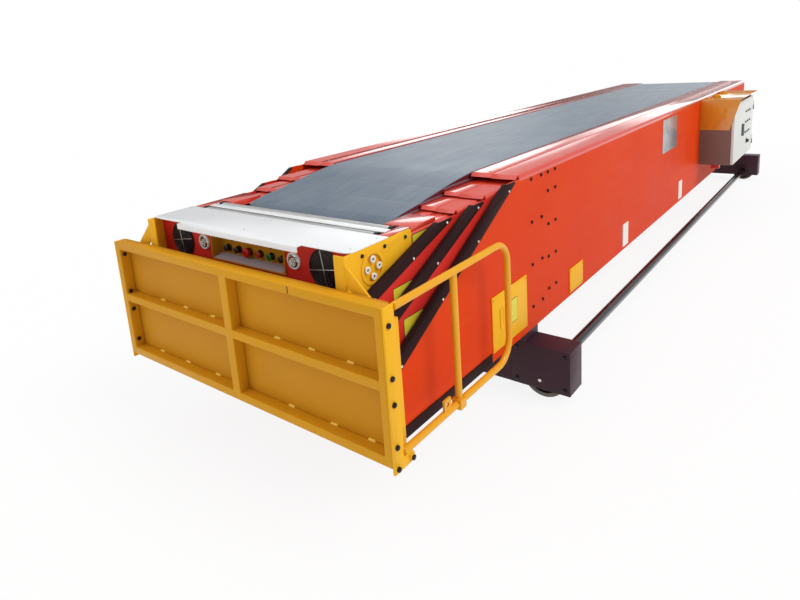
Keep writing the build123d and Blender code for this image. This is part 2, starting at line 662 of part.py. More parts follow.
# Folding platform frame, floor sheet and side plates
frame_half = PLATFORM_HALF_WIDTH - SIDE_PLATE
rail_x = PLATFORM_HALF_WIDTH - SIDE_PLATE / 2
floor_half = rail_x - TUBE_RADIUS - PLATFORM_SHEET_GAP
sheet_front = platform_rear - PLATFORM_SHEET
Bar = namedtuple("Bar", "left right low high")
mid_low = PLATFORM_BOTTOM + MID_RAIL_RISE
rail_foot = PLATFORM_BOTTOM + LOW_RAIL_RISE
BARS = [
    Bar(-frame_half, frame_half, platform_top - CROSS_RAIL, platform_top),
    Bar(-frame_half, frame_half, mid_low, mid_low + CROSS_RAIL),
    Bar(-frame_half, frame_half, rail_foot, rail_foot + CROSS_RAIL),
    Bar(-frame_half, -frame_half + END_RIB, rail_foot, platform_top),
    Bar(frame_half - END_RIB, frame_half, rail_foot, platform_top),
    Bar(-RIB / 2, RIB / 2, rail_foot, platform_top),
]
frame = None
for bar in BARS:
    solid = box(bar.left, bar.right, platform_front, sheet_front, bar.low, bar.high)
    frame = solid if frame is None else frame + solid
node("platform_frame", frame)
node("platform_floor", box(-floor_half, floor_half, sheet_front, platform_rear, rail_foot, platform_top))
lug_radius = PIVOT_RISE
side = slab_x(
    [
        (platform_front, PLATFORM_BOTTOM), (platform_front, platform_top), (platform_rear, platform_top),
        (platform_rear, pivot_z + lug_radius), (pivot_y, pivot_z + lug_radius), (pivot_y, PLATFORM_BOTTOM),
    ],
    frame_half, PLATFORM_HALF_WIDTH,
)
side = side + rod_x(frame_half, PLATFORM_HALF_WIDTH, pivot_y, pivot_z, lug_radius)
side = side - rod_x(frame_half - CUT, PLATFORM_HALF_WIDTH + CUT, pivot_y, pivot_z, PIN_RADIUS + RUNNING_FIT)
node("platform_side_plates", *both(side))

# Handrail loop on the right end of the platform
rail_rear = platform_rear + RAIL_LOOP_LENGTH
rail_low = PLATFORM_BOTTOM + RAIL_LOOP_LOW_RISE
rail_high = platform_top - RAIL_LOOP_TOP_DROP
path = FilletPolyline(
    (rail_x, platform_rear, rail_high),
    (rail_x, rail_rear, rail_high),
    (rail_x, rail_rear, rail_low),
    (rail_x, platform_rear, rail_low),
    radius=[TOP_BEND, LOW_BEND],
)
section_face = Plane(origin=(rail_x, platform_rear, rail_high), z_dir=(0, 1, 0)) * Circle(TUBE_RADIUS)
handrail = sweep(section_face, path=path)
post_y = platform_rear + RAIL_POST_SETBACK
handrail = handrail + rod_z(rail_low, rail_high, rail_x, post_y, TUBE_RADIUS)
eye_y = post_y - EYE_SETBACK
eye_top = rail_low + EYE_HEIGHT
eye = box(
    rail_x - EYE / 2, rail_x + EYE / 2,
    eye_y - EYE_LENGTH / 2, eye_y + EYE_LENGTH / 2, rail_low, eye_top,
)
eye = eye - rod_x(rail_x - EYE, rail_x + EYE, eye_y, eye_top - EYE_LENGTH / 2, EYE_HOLE_RADIUS)
foot = box(
    rail_x - FOOT / 2, rail_x + FOOT / 2,
    post_y - FOOT / 2, post_y + FOOT / 2, rail_low - FOOT / 2, rail_low + FOOT / 2,
)
node("handrail", handrail + eye + foot)

# Control cabinet with its door and the tray around its top
cabinet_in = BASE_HALF_WIDTH
cabinet_out = cabinet_in + CABINET_DEPTH
cabinet_rear = CABINET_FRONT + CABINET_LENGTH
shell = box(cabinet_in, cabinet_out, CABINET_FRONT, cabinet_rear, CABINET_BOTTOM, CABINET_TOP)
hollow = box(
    cabinet_in + CABINET_WALL, cabinet_out + CUT,
    CABINET_FRONT + CABINET_WALL, cabinet_rear - CABINET_WALL,
    CABINET_BOTTOM + CABINET_WALL, CABINET_TOP - CABINET_WALL,
)
cabinet = shell - hollow
door_in = cabinet_out + DOOR_GAP
door_out = door_in + DOOR
door_low = CABINET_BOTTOM + DOOR_MARGIN
door_high = CABINET_TOP - DOOR_TOP_MARGIN
hinge_x = door_out
hinge_y = cabinet_rear
door_rear = hinge_y - HINGE_RADIUS - DOOR_GAP
door = box(door_in, door_out, CABINET_FRONT + DOOR_MARGIN, door_rear, door_low, door_high)
for z in (door_low + HINGE_RISE, door_high - HINGE_RISE):
    leaf = box(door_in + DOOR / 2, door_out, door_rear, hinge_y, z, z + HINGE_LEAF)
    door = door + leaf + rod_z(z, z + HINGE_LEAF, hinge_x, hinge_y, HINGE_RADIUS)
    foot = z - HINGE_LEAF
    knuckle = rod_z(foot, z - SLIDE_GAP, hinge_x, hinge_y, HINGE_RADIUS)
    arm = box(cabinet_out - HINGE_ARM, hinge_x, hinge_y, hinge_y + HINGE_RADIUS, foot, z - SLIDE_GAP)
    cabinet = cabinet + knuckle + arm
node("cabinet_box", cabinet)
handle_y = CABINET_FRONT + HANDLE_SETBACK
handle_z = (door_low + door_high - HANDLE_HEIGHT) / 2
handle = box(
    door_out, door_out + HANDLE_DEPTH, handle_y, handle_y + HANDLE_WIDTH,
    handle_z, handle_z + HANDLE_HEIGHT,
)
node("cabinet_door", door + handle)
tray_low = CABINET_BOTTOM + TRAY_RISE
tray_high = CABINET_TOP + TRAY_EDGE
tray_front = CABINET_FRONT - SHEET
tray_rear = cabinet_rear - TRAY_REAR_GAP
shelf_out = cabinet_out + TRAY_SHELF
edge_out = cabinet_out + TRAY_REACH
front_plate = slab_y(
    [(cabinet_in, tray_low), (cabinet_out - TRAY_FOOT, tray_low), (edge_out, tray_high), (cabinet_in, tray_high)],
    tray_front, CABINET_FRONT,
)
shelf = box(cabinet_in, shelf_out, tray_front, tray_rear, CABINET_TOP, CABINET_TOP + SHEET)
lip_wire = [
    (shelf_out, CABINET_TOP), (edge_out, tray_high),
    (edge_out - SHEET, tray_high), (shelf_out - SHEET, CABINET_TOP + SHEET),
]
lip = slab_y(lip_wire, tray_front, tray_rear)
rear_plate = slab_y(
    [(cabinet_in, CABINET_TOP), (shelf_out, CABINET_TOP), (edge_out, tray_high), (cabinet_in, tray_high)],
    tray_rear - SHEET, tray_rear,
)
node("cabinet_tray", front_plate + shelf + lip + rear_plate)
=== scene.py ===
"""Looks of the telescopic belt conveyor: finishes on its solids and the small fittings on them."""

from __future__ import annotations

import json
import logging
import math
from dataclasses import dataclass
from enum import Enum
from typing import Any, Callable, NamedTuple

import bmesh
import bpy
from mathutils import Matrix, Vector

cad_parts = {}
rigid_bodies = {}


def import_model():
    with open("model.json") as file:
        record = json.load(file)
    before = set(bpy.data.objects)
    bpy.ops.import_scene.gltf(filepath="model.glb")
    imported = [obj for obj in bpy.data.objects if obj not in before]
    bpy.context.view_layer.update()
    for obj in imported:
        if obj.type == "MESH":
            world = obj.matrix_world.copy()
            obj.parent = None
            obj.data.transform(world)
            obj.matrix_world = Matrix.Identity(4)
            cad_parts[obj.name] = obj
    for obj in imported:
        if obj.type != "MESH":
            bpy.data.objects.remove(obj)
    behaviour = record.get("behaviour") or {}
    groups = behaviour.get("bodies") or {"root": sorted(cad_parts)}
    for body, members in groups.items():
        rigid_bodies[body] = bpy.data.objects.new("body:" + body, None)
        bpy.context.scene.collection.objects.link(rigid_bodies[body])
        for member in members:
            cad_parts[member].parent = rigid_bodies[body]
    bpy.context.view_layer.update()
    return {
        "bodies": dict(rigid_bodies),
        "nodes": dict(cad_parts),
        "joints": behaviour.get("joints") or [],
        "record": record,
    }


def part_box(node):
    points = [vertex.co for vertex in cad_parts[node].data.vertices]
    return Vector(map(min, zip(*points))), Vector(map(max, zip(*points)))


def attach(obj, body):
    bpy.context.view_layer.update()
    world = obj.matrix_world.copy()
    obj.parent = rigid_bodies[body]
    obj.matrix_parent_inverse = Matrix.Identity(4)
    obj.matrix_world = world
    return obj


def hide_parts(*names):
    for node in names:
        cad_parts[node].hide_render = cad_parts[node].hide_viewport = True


LOG = logging.getLogger("conveyor")
MM = 0.001
IMAGE_WIDTH = 800
IMAGE_HEIGHT = 600
SENSOR_MM = 36.0
WHITE = (1.0, 1.0, 1.0, 1.0)
ORIGIN = (0.0, 0.0, 0.0)

# Constants of the sRGB curve
SRGB_TOP = 255
SRGB_KNEE = 0.04045
SRGB_SLOPE = 12.92
SRGB_OFFSET = 0.055
SRGB_POWER = 2.4

# Refraction of clear stoving enamel
COAT_IOR = 1.6

# Numbers of the colour sockets of a Mix node
MIX_FIRST = 6
MIX_SECOND = 7
MIX_COLOUR = 2

# Rows of a placing matrix
AFFINE = 4

# Facets round a rod, round a ring of wire and round the wire itself, and across a rounded corner
ROD_EDGES = 32
HOOP_EDGES = 48
WIRE_EDGES = 8
CORNER_STEPS = 4

# Angles and tolerances of the modelling steps
SHARP = math.radians(35)
COPLANAR = math.radians(1)
MERGE = 0.01 * MM
FACING = 0.9

Point = tuple[float, float, float]
Test = Callable[[Vector, Vector], bool]
Nodes = dict[str, bpy.types.Object]


def linear(code: str) -> tuple[float, float, float, float]:
    """Turn an sRGB hex value into a linear colour.

    Args:
        code: colour written as a hash and six hex digits.

    Returns:
        Linear red, green, blue and an alpha of one.
    """
    shares = [value / SRGB_TOP for value in bytes.fromhex(code.lstrip("#"))]
    low = [share / SRGB_SLOPE for share in shares]
    high = [((share + SRGB_OFFSET) / (1 + SRGB_OFFSET)) ** SRGB_POWER for share in shares]
    red, green, blue = [a if share <= SRGB_KNEE else b for share, a, b in zip(shares, low, high)]
    return red, green, blue, 1.0


def add_node(
    tree: bpy.types.NodeTree,
    kind: str,
    settings: dict[str, Any] | None = None,
    inputs: dict[Any, Any] | None = None,
) -> bpy.types.Node:
    """Add a node with its settings, values and links.

    Args:
        tree: node tree that gets the node.
        kind: type name of the node.
        settings: properties of the node by name.
        inputs: values, or sockets to link from, by input name or number.

    Returns:
        The new node.
    """
    node = tree.nodes.new(kind)
    for key, value in (settings or {}).items():
        setattr(node, key, value)
    for key, value in (inputs or {}).items():
        if isinstance(value, bpy.types.NodeSocket):
            tree.links.new(value, node.inputs[key])
        else:
            node.inputs[key].default_value = value
    return node


def new_material(name: str) -> tuple[bpy.types.Material, bpy.types.NodeTree]:
    """Make an empty node material.

    Args:
        name: name of the finish.

    Returns:
        The material and its cleared node tree.
    """
    material = bpy.data.materials.new(name)
    material.use_nodes = True
    material.node_tree.nodes.clear()
    return material, material.node_tree


def close_material(tree: bpy.types.NodeTree, inputs: dict[str, Any]) -> None:
    """Put the surface shader and the output on a tree, with the shader's inputs."""
    shader = add_node(tree, "ShaderNodeBsdfPrincipled", inputs=inputs)
    add_node(tree, "ShaderNodeOutputMaterial", inputs={"Surface": shader.outputs["BSDF"]})


class Span(NamedTuple):
    """Part of a pattern's range that a finish draws on."""

    low: float
    high: float


@dataclass(frozen=True)
class PowderCoat:
    """Polyester powder coat baked on sheet steel: even gloss, faint orange peel, sheet not quite flat."""

    name: str
    colour: str
    shade: str
    roughness: float = 0.4
    specular: float = 0.12
    coat: float = 0.0
    coat_roughness: float = 0.08
    ior: float = 1.5
    # Orange peel is finer on the real coat and is drawn coarse enough to show
    peel_mm: float = 6.0
    peel_detail: float = 1.0
    peel_depth_mm: float = 0.05
    peel_strength: float = 0.5
    wave_mm: float = 380.0
    wave_detail: float = 0.0
    wave_depth_mm: float = 1.2
    tone_mm: float = 700.0
    tone_detail: float = 3.0
    tone_span: Span = Span(0.3, 0.7)
    scuff_mm: float = 60.0
    scuff_draw: Point = (1.0, 0.25, 1.0)
    scuff_detail: float = 8.0
    scuff_grit: float = 0.7
    scuff_span: Span = Span(0.58, 0.8)
    scuff: str = "#E9C3B4"
    scuff_amount: float = 0.06
    dull_span: Span = Span(0.35, 0.8)
    dull_gain: float = 0.14

    def material(self) -> bpy.types.Material:
        """Build the finish: broad tone drift, dry rub marks, buckled sheet and peel.

        Returns:
            The material.
        """
        material, tree = new_material(self.name)
        place = add_node(tree, "ShaderNodeTexCoord").outputs["Object"]
        tone = add_node(tree, "ShaderNodeTexNoise", inputs={
            "Vector": place, "Scale": 1 / (self.tone_mm * MM), "Detail": self.tone_detail})
        drift = add_node(tree, "ShaderNodeMapRange", inputs={
            "Value": tone.outputs["Fac"], "From Min": self.tone_span.low, "From Max": self.tone_span.high})
        body = add_node(tree, "ShaderNodeMix", {"data_type": "RGBA"}, {
            "Factor": drift.outputs["Result"],
            MIX_FIRST: linear(self.colour), MIX_SECOND: linear(self.shade)})
        drawn = add_node(tree, "ShaderNodeMapping", inputs={"Vector": place, "Scale": self.scuff_draw})
        rub = add_node(tree, "ShaderNodeTexNoise", inputs={
            "Vector": drawn.outputs["Vector"], "Scale": 1 / (self.scuff_mm * MM),
            "Detail": self.scuff_detail, "Roughness": self.scuff_grit})
        worn = add_node(tree, "ShaderNodeMapRange", inputs={
            "Value": rub.outputs["Fac"], "From Min": self.scuff_span.low, "From Max": self.scuff_span.high,
            "To Max": self.scuff_amount})
        colour = add_node(tree, "ShaderNodeMix", {"data_type": "RGBA"}, {
            "Factor": worn.outputs["Result"],
            MIX_FIRST: body.outputs[MIX_COLOUR], MIX_SECOND: linear(self.scuff)})
        dull = add_node(tree, "ShaderNodeMapRange", inputs={
            "Value": rub.outputs["Fac"], "From Min": self.dull_span.low, "From Max": self.dull_span.high,
            "To Min": self.roughness, "To Max": self.roughness + self.dull_gain})
        wave = add_node(tree, "ShaderNodeTexNoise", inputs={
            "Vector": place, "Scale": 1 / (self.wave_mm * MM), "Detail": self.wave_detail})
        buckle = add_node(tree, "ShaderNodeBump", inputs={
            "Height": wave.outputs["Fac"], "Strength": 1.0, "Distance": self.wave_depth_mm * MM})
        peel = add_node(tree, "ShaderNodeTexNoise", inputs={
            "Vector": place, "Scale": 1 / (self.peel_mm * MM), "Detail": self.peel_detail})
        ripple = add_node(tree, "ShaderNodeBump", inputs={
            "Height": peel.outputs["Fac"], "Strength": self.peel_strength,
            "Distance": self.peel_depth_mm * MM, "Normal": buckle.outputs["Normal"]})
        close_material(tree, {
            "Base Color": colour.outputs[MIX_COLOUR], "Roughness": dull.outputs["Result"],
            "Normal": ripple.outputs["Normal"], "IOR": self.ior, "Specular IOR Level": self.specular,
            "Coat Weight": self.coat, "Coat Roughness": self.coat_roughness, "Coat IOR": COAT_IOR})
        return material


@dataclass(frozen=True)
class DrawnSteel:
    """Bare, plated or blackened metal with fine lines along the way it was drawn, turned or brushed."""

    name: str
    colour: str
    shade: str
    roughness: float
    metallic: float = 1.0
    # Tool lines are finer on the real metal and are drawn coarse enough to show
    line_mm: float = 2.0
    line_detail: float = 4.0
    line_span: Span = Span(0.3, 0.7)
    line_strength: float = 0.4
    along: Point = (1.0, 1.0, 1.0)
    depth_mm: float = 0.02
    smoother: float = 0.06
    rougher: float = 0.12
    blotch_mm: float = 90.0
    blotch_detail: float = 5.0
    blotch_grit: float = 0.6
    blotch_span: Span = Span(0.35, 0.7)

    def material(self) -> bpy.types.Material:
        """Build the finish: lines drawn out along the metal, uneven sheen and cloudy handling marks.

        Returns:
            The material.
        """
        material, tree = new_material(self.name)
        place = add_node(tree, "ShaderNodeTexCoord").outputs["Object"]
        drawn = add_node(tree, "ShaderNodeMapping", inputs={"Vector": place, "Scale": self.along})
        lines = add_node(tree, "ShaderNodeTexNoise", inputs={
            "Vector": drawn.outputs["Vector"], "Scale": 1 / (self.line_mm * MM), "Detail": self.line_detail})
        cloud = add_node(tree, "ShaderNodeTexNoise", inputs={
            "Vector": place, "Scale": 1 / (self.blotch_mm * MM), "Detail": self.blotch_detail,
            "Roughness": self.blotch_grit})
        patch = add_node(tree, "ShaderNodeMapRange", inputs={
            "Value": cloud.outputs["Fac"],
            "From Min": self.blotch_span.low, "From Max": self.blotch_span.high})
        colour = add_node(tree, "ShaderNodeMix", {"data_type": "RGBA"}, {
            "Factor": patch.outputs["Result"],
            MIX_FIRST: linear(self.colour), MIX_SECOND: linear(self.shade)})
        sheen = add_node(tree, "ShaderNodeMapRange", inputs={
            "Value": lines.outputs["Fac"], "From Min": self.line_span.low, "From Max": self.line_span.high,
            "To Min": self.roughness - self.smoother, "To Max": self.roughness + self.rougher})
        ridge = add_node(tree, "ShaderNodeBump", inputs={
            "Height": lines.outputs["Fac"], "Strength": self.line_strength, "Distance": self.depth_mm * MM})
        close_material(tree, {
            "Base Color": colour.outputs[MIX_COLOUR], "Metallic": self.metallic,
            "Roughness": sheen.outputs["Result"], "Normal": ridge.outputs["Normal"]})
        return material


@dataclass(frozen=True)
class WovenBelt:
    """PVC conveyor belt on a woven carcass: matt, finely pebbled, rubbed in long streaks by the loads."""

    name: str
    colour: str
    polish: str
    roughness: float = 0.44
    sheen_play: float = 0.02
    ior: float = 1.6
    # The pebble is finer on the real belt and is drawn coarse enough to show
    pebble_mm: float = 7.0
    pebble_depth_mm: float = 0.2
    pebble_strength: float = 0.15
    streak_mm: float = 30.0
    streak_detail: float = 6.0
    streak_draw: Point = (1.0, 0.12, 1.0)
    cloud_mm: float = 260.0
    cloud_detail: float = 6.0
    cloud_grit: float = 0.65
    rub_span: Span = Span(0.14, 0.4)

    def material(self) -> bpy.types.Material:
        """Build the finish: pebbled face, drawn-out rub streaks and soft dust clouds.

        Returns:
            The material.
        """
        material, tree = new_material(self.name)
        place = add_node(tree, "ShaderNodeTexCoord").outputs["Object"]
        drawn = add_node(tree, "ShaderNodeMapping", inputs={"Vector": place, "Scale": self.streak_draw})
        streak = add_node(tree, "ShaderNodeTexNoise", inputs={
            "Vector": drawn.outputs["Vector"], "Scale": 1 / (self.streak_mm * MM),
            "Detail": self.streak_detail})
        cloud = add_node(tree, "ShaderNodeTexNoise", inputs={
            "Vector": place, "Scale": 1 / (self.cloud_mm * MM), "Detail": self.cloud_detail,
            "Roughness": self.cloud_grit})
        both = add_node(tree, "ShaderNodeMath", {"operation": "MULTIPLY"}, {
            0: streak.outputs["Fac"], 1: cloud.outputs["Fac"]})
        rubbed = add_node(tree, "ShaderNodeMapRange", inputs={
            "Value": both.outputs["Value"], "From Min": self.rub_span.low, "From Max": self.rub_span.high})
        colour = add_node(tree, "ShaderNodeMix", {"data_type": "RGBA"}, {
            "Factor": rubbed.outputs["Result"],
            MIX_FIRST: linear(self.colour), MIX_SECOND: linear(self.polish)})
        dull = add_node(tree, "ShaderNodeMapRange", inputs={
            "Value": rubbed.outputs["Result"], "To Min": self.roughness + self.sheen_play,
            "To Max": self.roughness - self.sheen_play})
        pebble = add_node(tree, "ShaderNodeTexVoronoi", inputs={
            "Vector": place, "Scale": 1 / (self.pebble_mm * MM)})
        grain = add_node(tree, "ShaderNodeBump", inputs={
            "Height": pebble.outputs["Distance"], "Strength": self.pebble_strength,
            "Distance": self.pebble_depth_mm * MM})
        close_material(tree, {
            "Base Color": colour.outputs[MIX_COLOUR], "Roughness": dull.outputs["Result"],
            "Normal": grain.outputs["Normal"], "IOR": self.ior})
        return material


@dataclass(frozen=True)
class Moulded:
    """Moulded plastic, rubber or printed vinyl: one clean colour with a fine spark-eroded grain."""

    name: str
    colour: str
    shade: str
    roughness: float
    ior: float = 1.49
    coat: float = 0.0
    flow_mm: float = 25.0
    flow_detail: float = 3.0
    # Mould grain is finer on the real plastic and is drawn coarse enough to show
    grain_mm: float = 1.5
    grain_detail: float = 2.0
    grain_depth_mm: float = 0.03
    grain_strength: float = 0.4

    def material(self) -> bpy.types.Material:
        """Build the finish: faint flow tone and mould grain.

        Returns:
            The material.
        """
        material, tree = new_material(self.name)
        place = add_node(tree, "ShaderNodeTexCoord").outputs["Object"]
        flow = add_node(tree, "ShaderNodeTexNoise", inputs={
            "Vector": place, "Scale": 1 / (self.flow_mm * MM), "Detail": self.flow_detail})
        colour = add_node(tree, "ShaderNodeMix", {"data_type": "RGBA"}, {
            "Factor": flow.outputs["Fac"], MIX_FIRST: linear(self.colour), MIX_SECOND: linear(self.shade)})
        grain = add_node(tree, "ShaderNodeTexNoise", inputs={
            "Vector": place, "Scale": 1 / (self.grain_mm * MM), "Detail": self.grain_detail})
        skin = add_node(tree, "ShaderNodeBump", inputs={
            "Height": grain.outputs["Fac"], "Strength": self.grain_strength,
            "Distance": self.grain_depth_mm * MM})
        close_material(tree, {
            "Base Color": colour.outputs[MIX_COLOUR], "Roughness": self.roughness,
            "Normal": skin.outputs["Normal"], "IOR": self.ior, "Coat Weight": self.coat})
        return material


Recipe = PowderCoat | DrawnSteel | WovenBelt | Moulded


class Look(Enum):
    """Finishes of the machine: the record's slot that each belongs to, and its recipe."""

    BODY_RED = ("body_red", PowderCoat(
        "powder coat on sheet steel, orange red", "#DE4412", "#D63C12", specular=0.05))
    COVER_RED = ("body_red", PowderCoat(
        "gloss powder coat on folded covers, orange red", "#E0402A", "#D83824", 0.3, 0.5, 1.0,
        wave_depth_mm=2.4, scuff_amount=0.15))
    STAGE_RED = ("stage_red", PowderCoat("powder coat on sheet steel, signal red", "#D8332A", "#D02C24"))
    SAFETY_YELLOW = ("safety_yellow", PowderCoat(
        "powder coat on folded steel, safety yellow", "#F2B722", "#EEAF20", scuff="#FADC98",
        scuff_amount=0.1, wave_depth_mm=0.5))
    # Darker, more orange copy of the safety yellow on the platform frame: painted shade of its front faces
    SHADED_FRAME_YELLOW = ("safety_yellow", PowderCoat(
        "powder coat on welded channel, deep yellow", "#DA9C1C", "#D2941A", scuff="#F0CC80",
        scuff_amount=0.1, wave_depth_mm=0.4))
    RAIL_YELLOW = ("safety_yellow", PowderCoat(
        "gloss powder coat on bent tube, golden yellow", "#EAA61A", "#E29E18", 0.34, 0.2, 0.2))
    # Darker copy of the safety yellow on the control box: painted shade under the plate overhang
    SHADED_BOX_YELLOW = ("safety_yellow", PowderCoat(
        "powder coat on folded box, deep yellow", "#C88C1E", "#BE821C", 0.4))
    TRAY_YELLOW = ("safety_yellow", PowderCoat(
        "gloss powder coat on tray sheet, orange yellow", "#DE9220", "#D5861E", 0.4, 0.3, 1.0))
    # Darker copy of the safety yellow on the platform floor sheet: painted shade
    SHADED_SHEET_YELLOW = ("safety_yellow", PowderCoat(
        "powder coat on flat floor sheet, deep yellow", "#D0901A", "#C68618", 0.46, scuff="#E2B25C",
        scuff_amount=0.1))
    # Paler copy of the safety yellow over the weld beads: painted highlight on them
    HIGHLIT_WELD_YELLOW = ("safety_yellow", PowderCoat(
        "powder coat over weld beads, pale yellow", "#FFDC6A", "#F8CC50", 0.3))
    EDGE_BLACK = ("edge_black", PowderCoat(
        "stoved enamel on steel angle, brown black", "#2B1A1B", "#33201F", 0.5, 0.06,
        scuff="#5A4A4A", scuff_amount=0.06, wave_depth_mm=0.2))
    BELT_GREY = ("belt_grey", WovenBelt("pvc belt on woven carcass, blue charcoal", "#5E6C7C", "#6A7886"))
    # Dark maroon on the seals and wedges beside and under the belt's edges: painted shade of the red walls
    # there
    SHADE_MAROON = ("edge_black", Moulded("rubber edge seal, dark maroon as painted shade", "#64141F", "#701A25", 0.5))
    BRIGHT_PLATE = ("bright_plate", PowderCoat(
        "powder coat on folded steel, signal white", "#EEEFF0", "#E6E8EA", 0.3, 0.3, scuff="#BDBBB8",
        scuff_amount=0.1, wave_depth_mm=0.4))
    ROLLER_STEEL = ("roller_steel", DrawnSteel(
        "zinc-plated tube, turned", "#E6E6E4", "#D6D7D8", 0.34, along=(0.05, 1.0, 1.0)))
    ZINC = ("roller_steel", DrawnSteel("zinc-plated fastener, barrelled", "#DEDEDA", "#BDBDB8", 0.3))
    WHITE_CAP = ("bright_plate", Moulded("moulded nylon nut cap, white", "#F0F0EC", "#E4E4E0", 0.35))
    GEAR_DARK = ("gear_dark", PowderCoat(
        "machine enamel on welded box section, purple black", "#3C2530", "#452C36", 0.36, 0.2,
        scuff="#7C6670", scuff_amount=0.14, wave_depth_mm=0.4))
    WHEEL_STEEL = ("wheel_steel", DrawnSteel(
        "forged wheel steel, machined tread", "#77716C", "#4D423B", 0.42))
    SHAFT_STEEL = ("shaft_steel", DrawnSteel(
        "cold-drawn bar, oil blackened", "#76787C", "#5C5D61", 0.12,
        along=(1.0, 0.04, 1.0), blotch_mm=400.0))
    BLACK_BOLT = ("shaft_steel", DrawnSteel("black-oxide bolt, tumbled", "#1C181A", "#2A2426", 0.32, 0.6))
    CABINET_GREY = ("cabinet_grey", PowderCoat(
        "textured powder coat on door steel, light grey", "#E2E5E1", "#DADDD9", 0.5,
        peel_mm=3.0, peel_depth_mm=0.12, scuff="#9A928C", wave_depth_mm=0.3))
    # Grey darkened to brown on the cabinet box: painted shade and painted reflection of the red walls
    SHADED_CABINET_BROWN = ("cabinet_grey", PowderCoat(
        "textured powder coat on cabinet steel, grey brown", "#866D66", "#7C645E", 0.5,
        peel_mm=3.0, peel_depth_mm=0.12, scuff="#A8968F", wave_depth_mm=0.3))
    LAMP_WHITE = ("lamp_white", Moulded(
        "moulded polycarbonate bezel, white", "#F1F1EC", "#E2E4E2", 0.16, coat=0.5))
    LAMP_MIRROR = ("lamp_white", DrawnSteel("vacuum-metallised reflector", "#B9BCC0", "#9DA1A6", 0.16))
    GUARD_DARK = ("guard_dark", Moulded("dipped wire guard, black", "#1A1516", "#241E1F", 0.45))
    CAP_BLACK = ("button_mix", Moulded("moulded polyamide button, black", "#1D1614", "#2A201C", 0.32))
    CAP_GREY = ("button_mix", Moulded("moulded polyamide grip, mid grey", "#5C6064", "#666A6E", 0.4))
    # Lilac grey on the blank white strip in the control box: painted shade
    SHADED_STRIP_GREY = ("bright_plate", Moulded("vinyl strip, blank, lilac grey as painted shade", "#B4A9B2", "#A89DA8", 0.4))
    CAP_RED = ("button_mix", Moulded("moulded polyamide button, red", "#C4201A", "#B01A16", 0.28))
    CAP_AMBER = ("button_mix", Moulded("moulded polyamide button, orange red", "#B33A14", "#9C3212", 0.28))
    CAP_GREEN = ("button_mix", Moulded("moulded polyamide button, green", "#1F6B2C", "#185A24", 0.28))
    LIME_PLATE = ("safety_yellow", Moulded(
        "screen-printed vinyl plate, blank lime yellow", "#DFD23A", "#D6C832", 0.45))
    PLATE_BORDER = ("edge_black", Moulded("screen-printed vinyl border, black", "#2A2018", "#332820", 0.45))
    WHITE_LABEL = ("bright_plate", Moulded("vinyl label, blank white", "#ECEAE4", "#E2E0DA", 0.4))
    BARE_PLATE = ("bright_plate", DrawnSteel(
        "mirror-rolled stainless plate, blank", "#C9CCD0", "#A4A9B0", 0.16,
        along=(1.0, 0.05, 1.0), depth_mm=0.1))

    def __init__(self, slot: str, recipe: Recipe) -> None:
        """Keep the slot and the recipe."""
        self.slot = slot
        self.recipe = recipe


class Axis(Enum):
    """Ways that a rod, a bolt or a face points."""

    RIGHT = (1.0, 0.0, 0.0)
    LEFT = (-1.0, 0.0, 0.0)
    REAR = (0.0, 1.0, 0.0)
    FRONT = (0.0, -1.0, 0.0)
    UP = (0.0, 0.0, 1.0)
    DOWN = (0.0, 0.0, -1.0)

    @property
    def way(self) -> Vector:
        """The way as a vector."""
        return Vector(self.value)

    def turn(self) -> Matrix:
        """Rotation that brings straight up to this way."""
        return Axis.UP.way.rotation_difference(self.way).to_matrix().to_4x4()

    def at(self, place: Point) -> Matrix:
        """Placing of a piece that was modelled upright at the origin."""
        return Matrix.Translation(place) @ self.turn()


def facing(axis: Axis) -> Test:
    """Test for the faces that look one way."""
    return lambda middle, normal: normal.dot(axis.way) > FACING


def sides(places: list[Point], axis: Axis) -> list[Matrix]:
    """Placings of like pieces on the right side and of their mirror places on the left.

    Args:
        places: places on the right side.
        axis: way that the pieces point there, right or left.

    Returns:
        Placings on both sides.
    """
    other = Axis.LEFT if axis is Axis.RIGHT else Axis.RIGHT
    return [axis.at(place) for place in places] + [other.at((-x, y, z)) for x, y, z in places]


def circle(count: int, reach: float) -> list[tuple[float, float]]:
    """Places evenly round a circle, from straight along its first axis.

    Args:
        count: number of places.
        reach: radius of the circle.

    Returns:
        The two coordinates of each place.
    """
    turns = [math.tau * step / count for step in range(count)]
    return [(reach * math.cos(turn), reach * math.sin(turn)) for turn in turns]


def front_pair(node: str) -> tuple[float, list[Matrix]]:
    """Size and places of a pair of round fittings in the front panel of the head.

    Args:
        node: solid that holds both fittings.

    Returns:
        Their radius, and their placings on the right and on the left.
    """
    low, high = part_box(node)
    radius = (high.z - low.z) / 2
    level = (low.z + high.z) / 2
    return radius, [Axis.FRONT.at((side * (high.x - radius), high.y, level)) for side in (1, -1)]


def clear_hands() -> None:
    """Leave edit mode and select nothing, so that an operator acts on the next piece alone."""
    if bpy.context.object is not None and bpy.context.object.mode == "EDIT":
        bpy.ops.object.mode_set(mode="OBJECT")
    bpy.ops.object.select_all(action="DESELECT")


